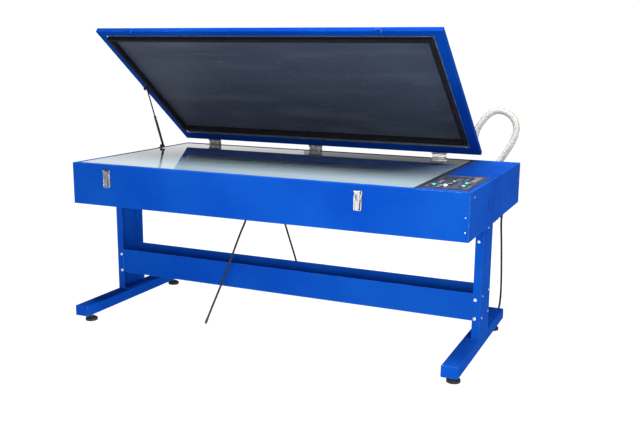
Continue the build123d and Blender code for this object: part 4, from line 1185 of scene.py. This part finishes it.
def round_connector(name, route, replaced):
    """A small round moulded connector with finger ribs and a bright pin shroud, at the end of a lead."""
    end, before = Vector(route[-1]), Vector(route[-2])
    out = (end - before).normalized()
    long = CONNECTOR_LONG
    shape = bmesh.new()
    turned(shape, [(0.0056, -0.0110), (0.0060, -0.0100), (0.0064, 0.0), (0.0071, 0.0100),
                   (0.0071, long * 0.72), (0.0066, long * 0.76), (0.0060, long * 0.77), (0, long * 0.77)],
           end, out, 28)
    turned(shape, [(0.0045, long * 0.77), (0.0045, long * 0.985), (0.0039, long * 0.985),
                   (0.0039, long * 0.80), (0, long * 0.80)], end, out, 28, slot=1)
    side = out.orthogonal().normalized()
    for spoke in spokes(12, side, out.cross(side)):
        spot = end + spoke * 0.0069
        pipe(shape, [spot + out * 0.0110, spot + out * (long * 0.68)], 0.0003, 5)
    for spoke in spokes(3, side, out.cross(side)):
        spot = end + spoke * 0.0020
        pipe(shape, [spot + out * long * 0.80, spot + out * long * 0.95], 0.0005, 8, slot=1)
    piece = collect(name, shape, (connector_black, plated_bolt), "base")
    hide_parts(replaced)
    return piece


front_end = round_connector("front_connector", FRONT_ROUTE, "front_cord_connector")
middle_end = round_connector("middle_connector", MIDDLE_ROUTE, "middle_cord_connector")
dress(connector_black, "side_cord_plug")
rubber_lead("front_lead", FRONT_ROUTE, ("front_cord",))
rubber_lead("middle_lead", MIDDLE_ROUTE, ("middle_cord",))
rubber_lead("side_lead", SIDE_ROUTE + coil_points(), ("side_cord", "side_cord_coil"))

# Each strain relief is a tapered rubber sleeve with open ribs, snapped into a hole of the cabinet floor.
reliefs = bmesh.new()
for exit_at in (FRONT_ROUTE[0], MIDDLE_ROUTE[0], SIDE_ROUTE[0]):
    profile = [(0.0055, 0.6205), (0.0064, 0.6205)]
    for rib in range(7):
        z = 0.6225 + 0.0042 * rib
        outer = 0.0068 + 0.00045 * rib
        inner = outer - 0.0010
        profile += [(outer, z), (outer, z + 0.0020), (inner, z + 0.0024), (inner, z + 0.0038)]
    profile += [(0.0108, 0.6535), (0.0125, 0.6545), (0.0125, 0.6590), (0.0118, 0.6598), (0.0055, 0.6598)]
    turned(reliefs, profile, (exit_at[0], exit_at[1], 0), around=28, loop=True)
relief_sleeves = collect("relief_sleeves", reliefs, jacket, "base")
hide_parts("cord_strain_reliefs")

# A hook-and-loop tie holds the coil of the mains lead together.
TIE_AT = (COIL_AT[0] - 0.052, COIL_AT[1], 0.0116)
TIE_HALF = 0.006           # half the width of the band
tie = bmesh.new()
outside, inside = (rounded_loop(TIE_AT, (1, 0, 0), (0, 0, 1), *sizes, 4)
                   for sizes in ((0.0177, 0.0114, 0.0056), (0.0168, 0.0106, 0.0050)))
bands = [[tie.verts.new(point + Vector((0, shift, 0))) for point in loop]
         for loop, shift in ((outside, -TIE_HALF), (outside, TIE_HALF),
                             (inside, TIE_HALF), (inside, -TIE_HALF))]
for band, following in zip(bands, bands[1:] + bands[:1]):
    for step in range(len(band)):
        follow = (step + 1) % len(band)
        tie.faces.new((band[step], band[follow], following[follow], following[step]))
tie_cloth = rubber("tie_cloth", (0.03, 0.03, 0.035), 0.9, 0.0014)
collect("coil_tie", tie, tie_cloth, "base")
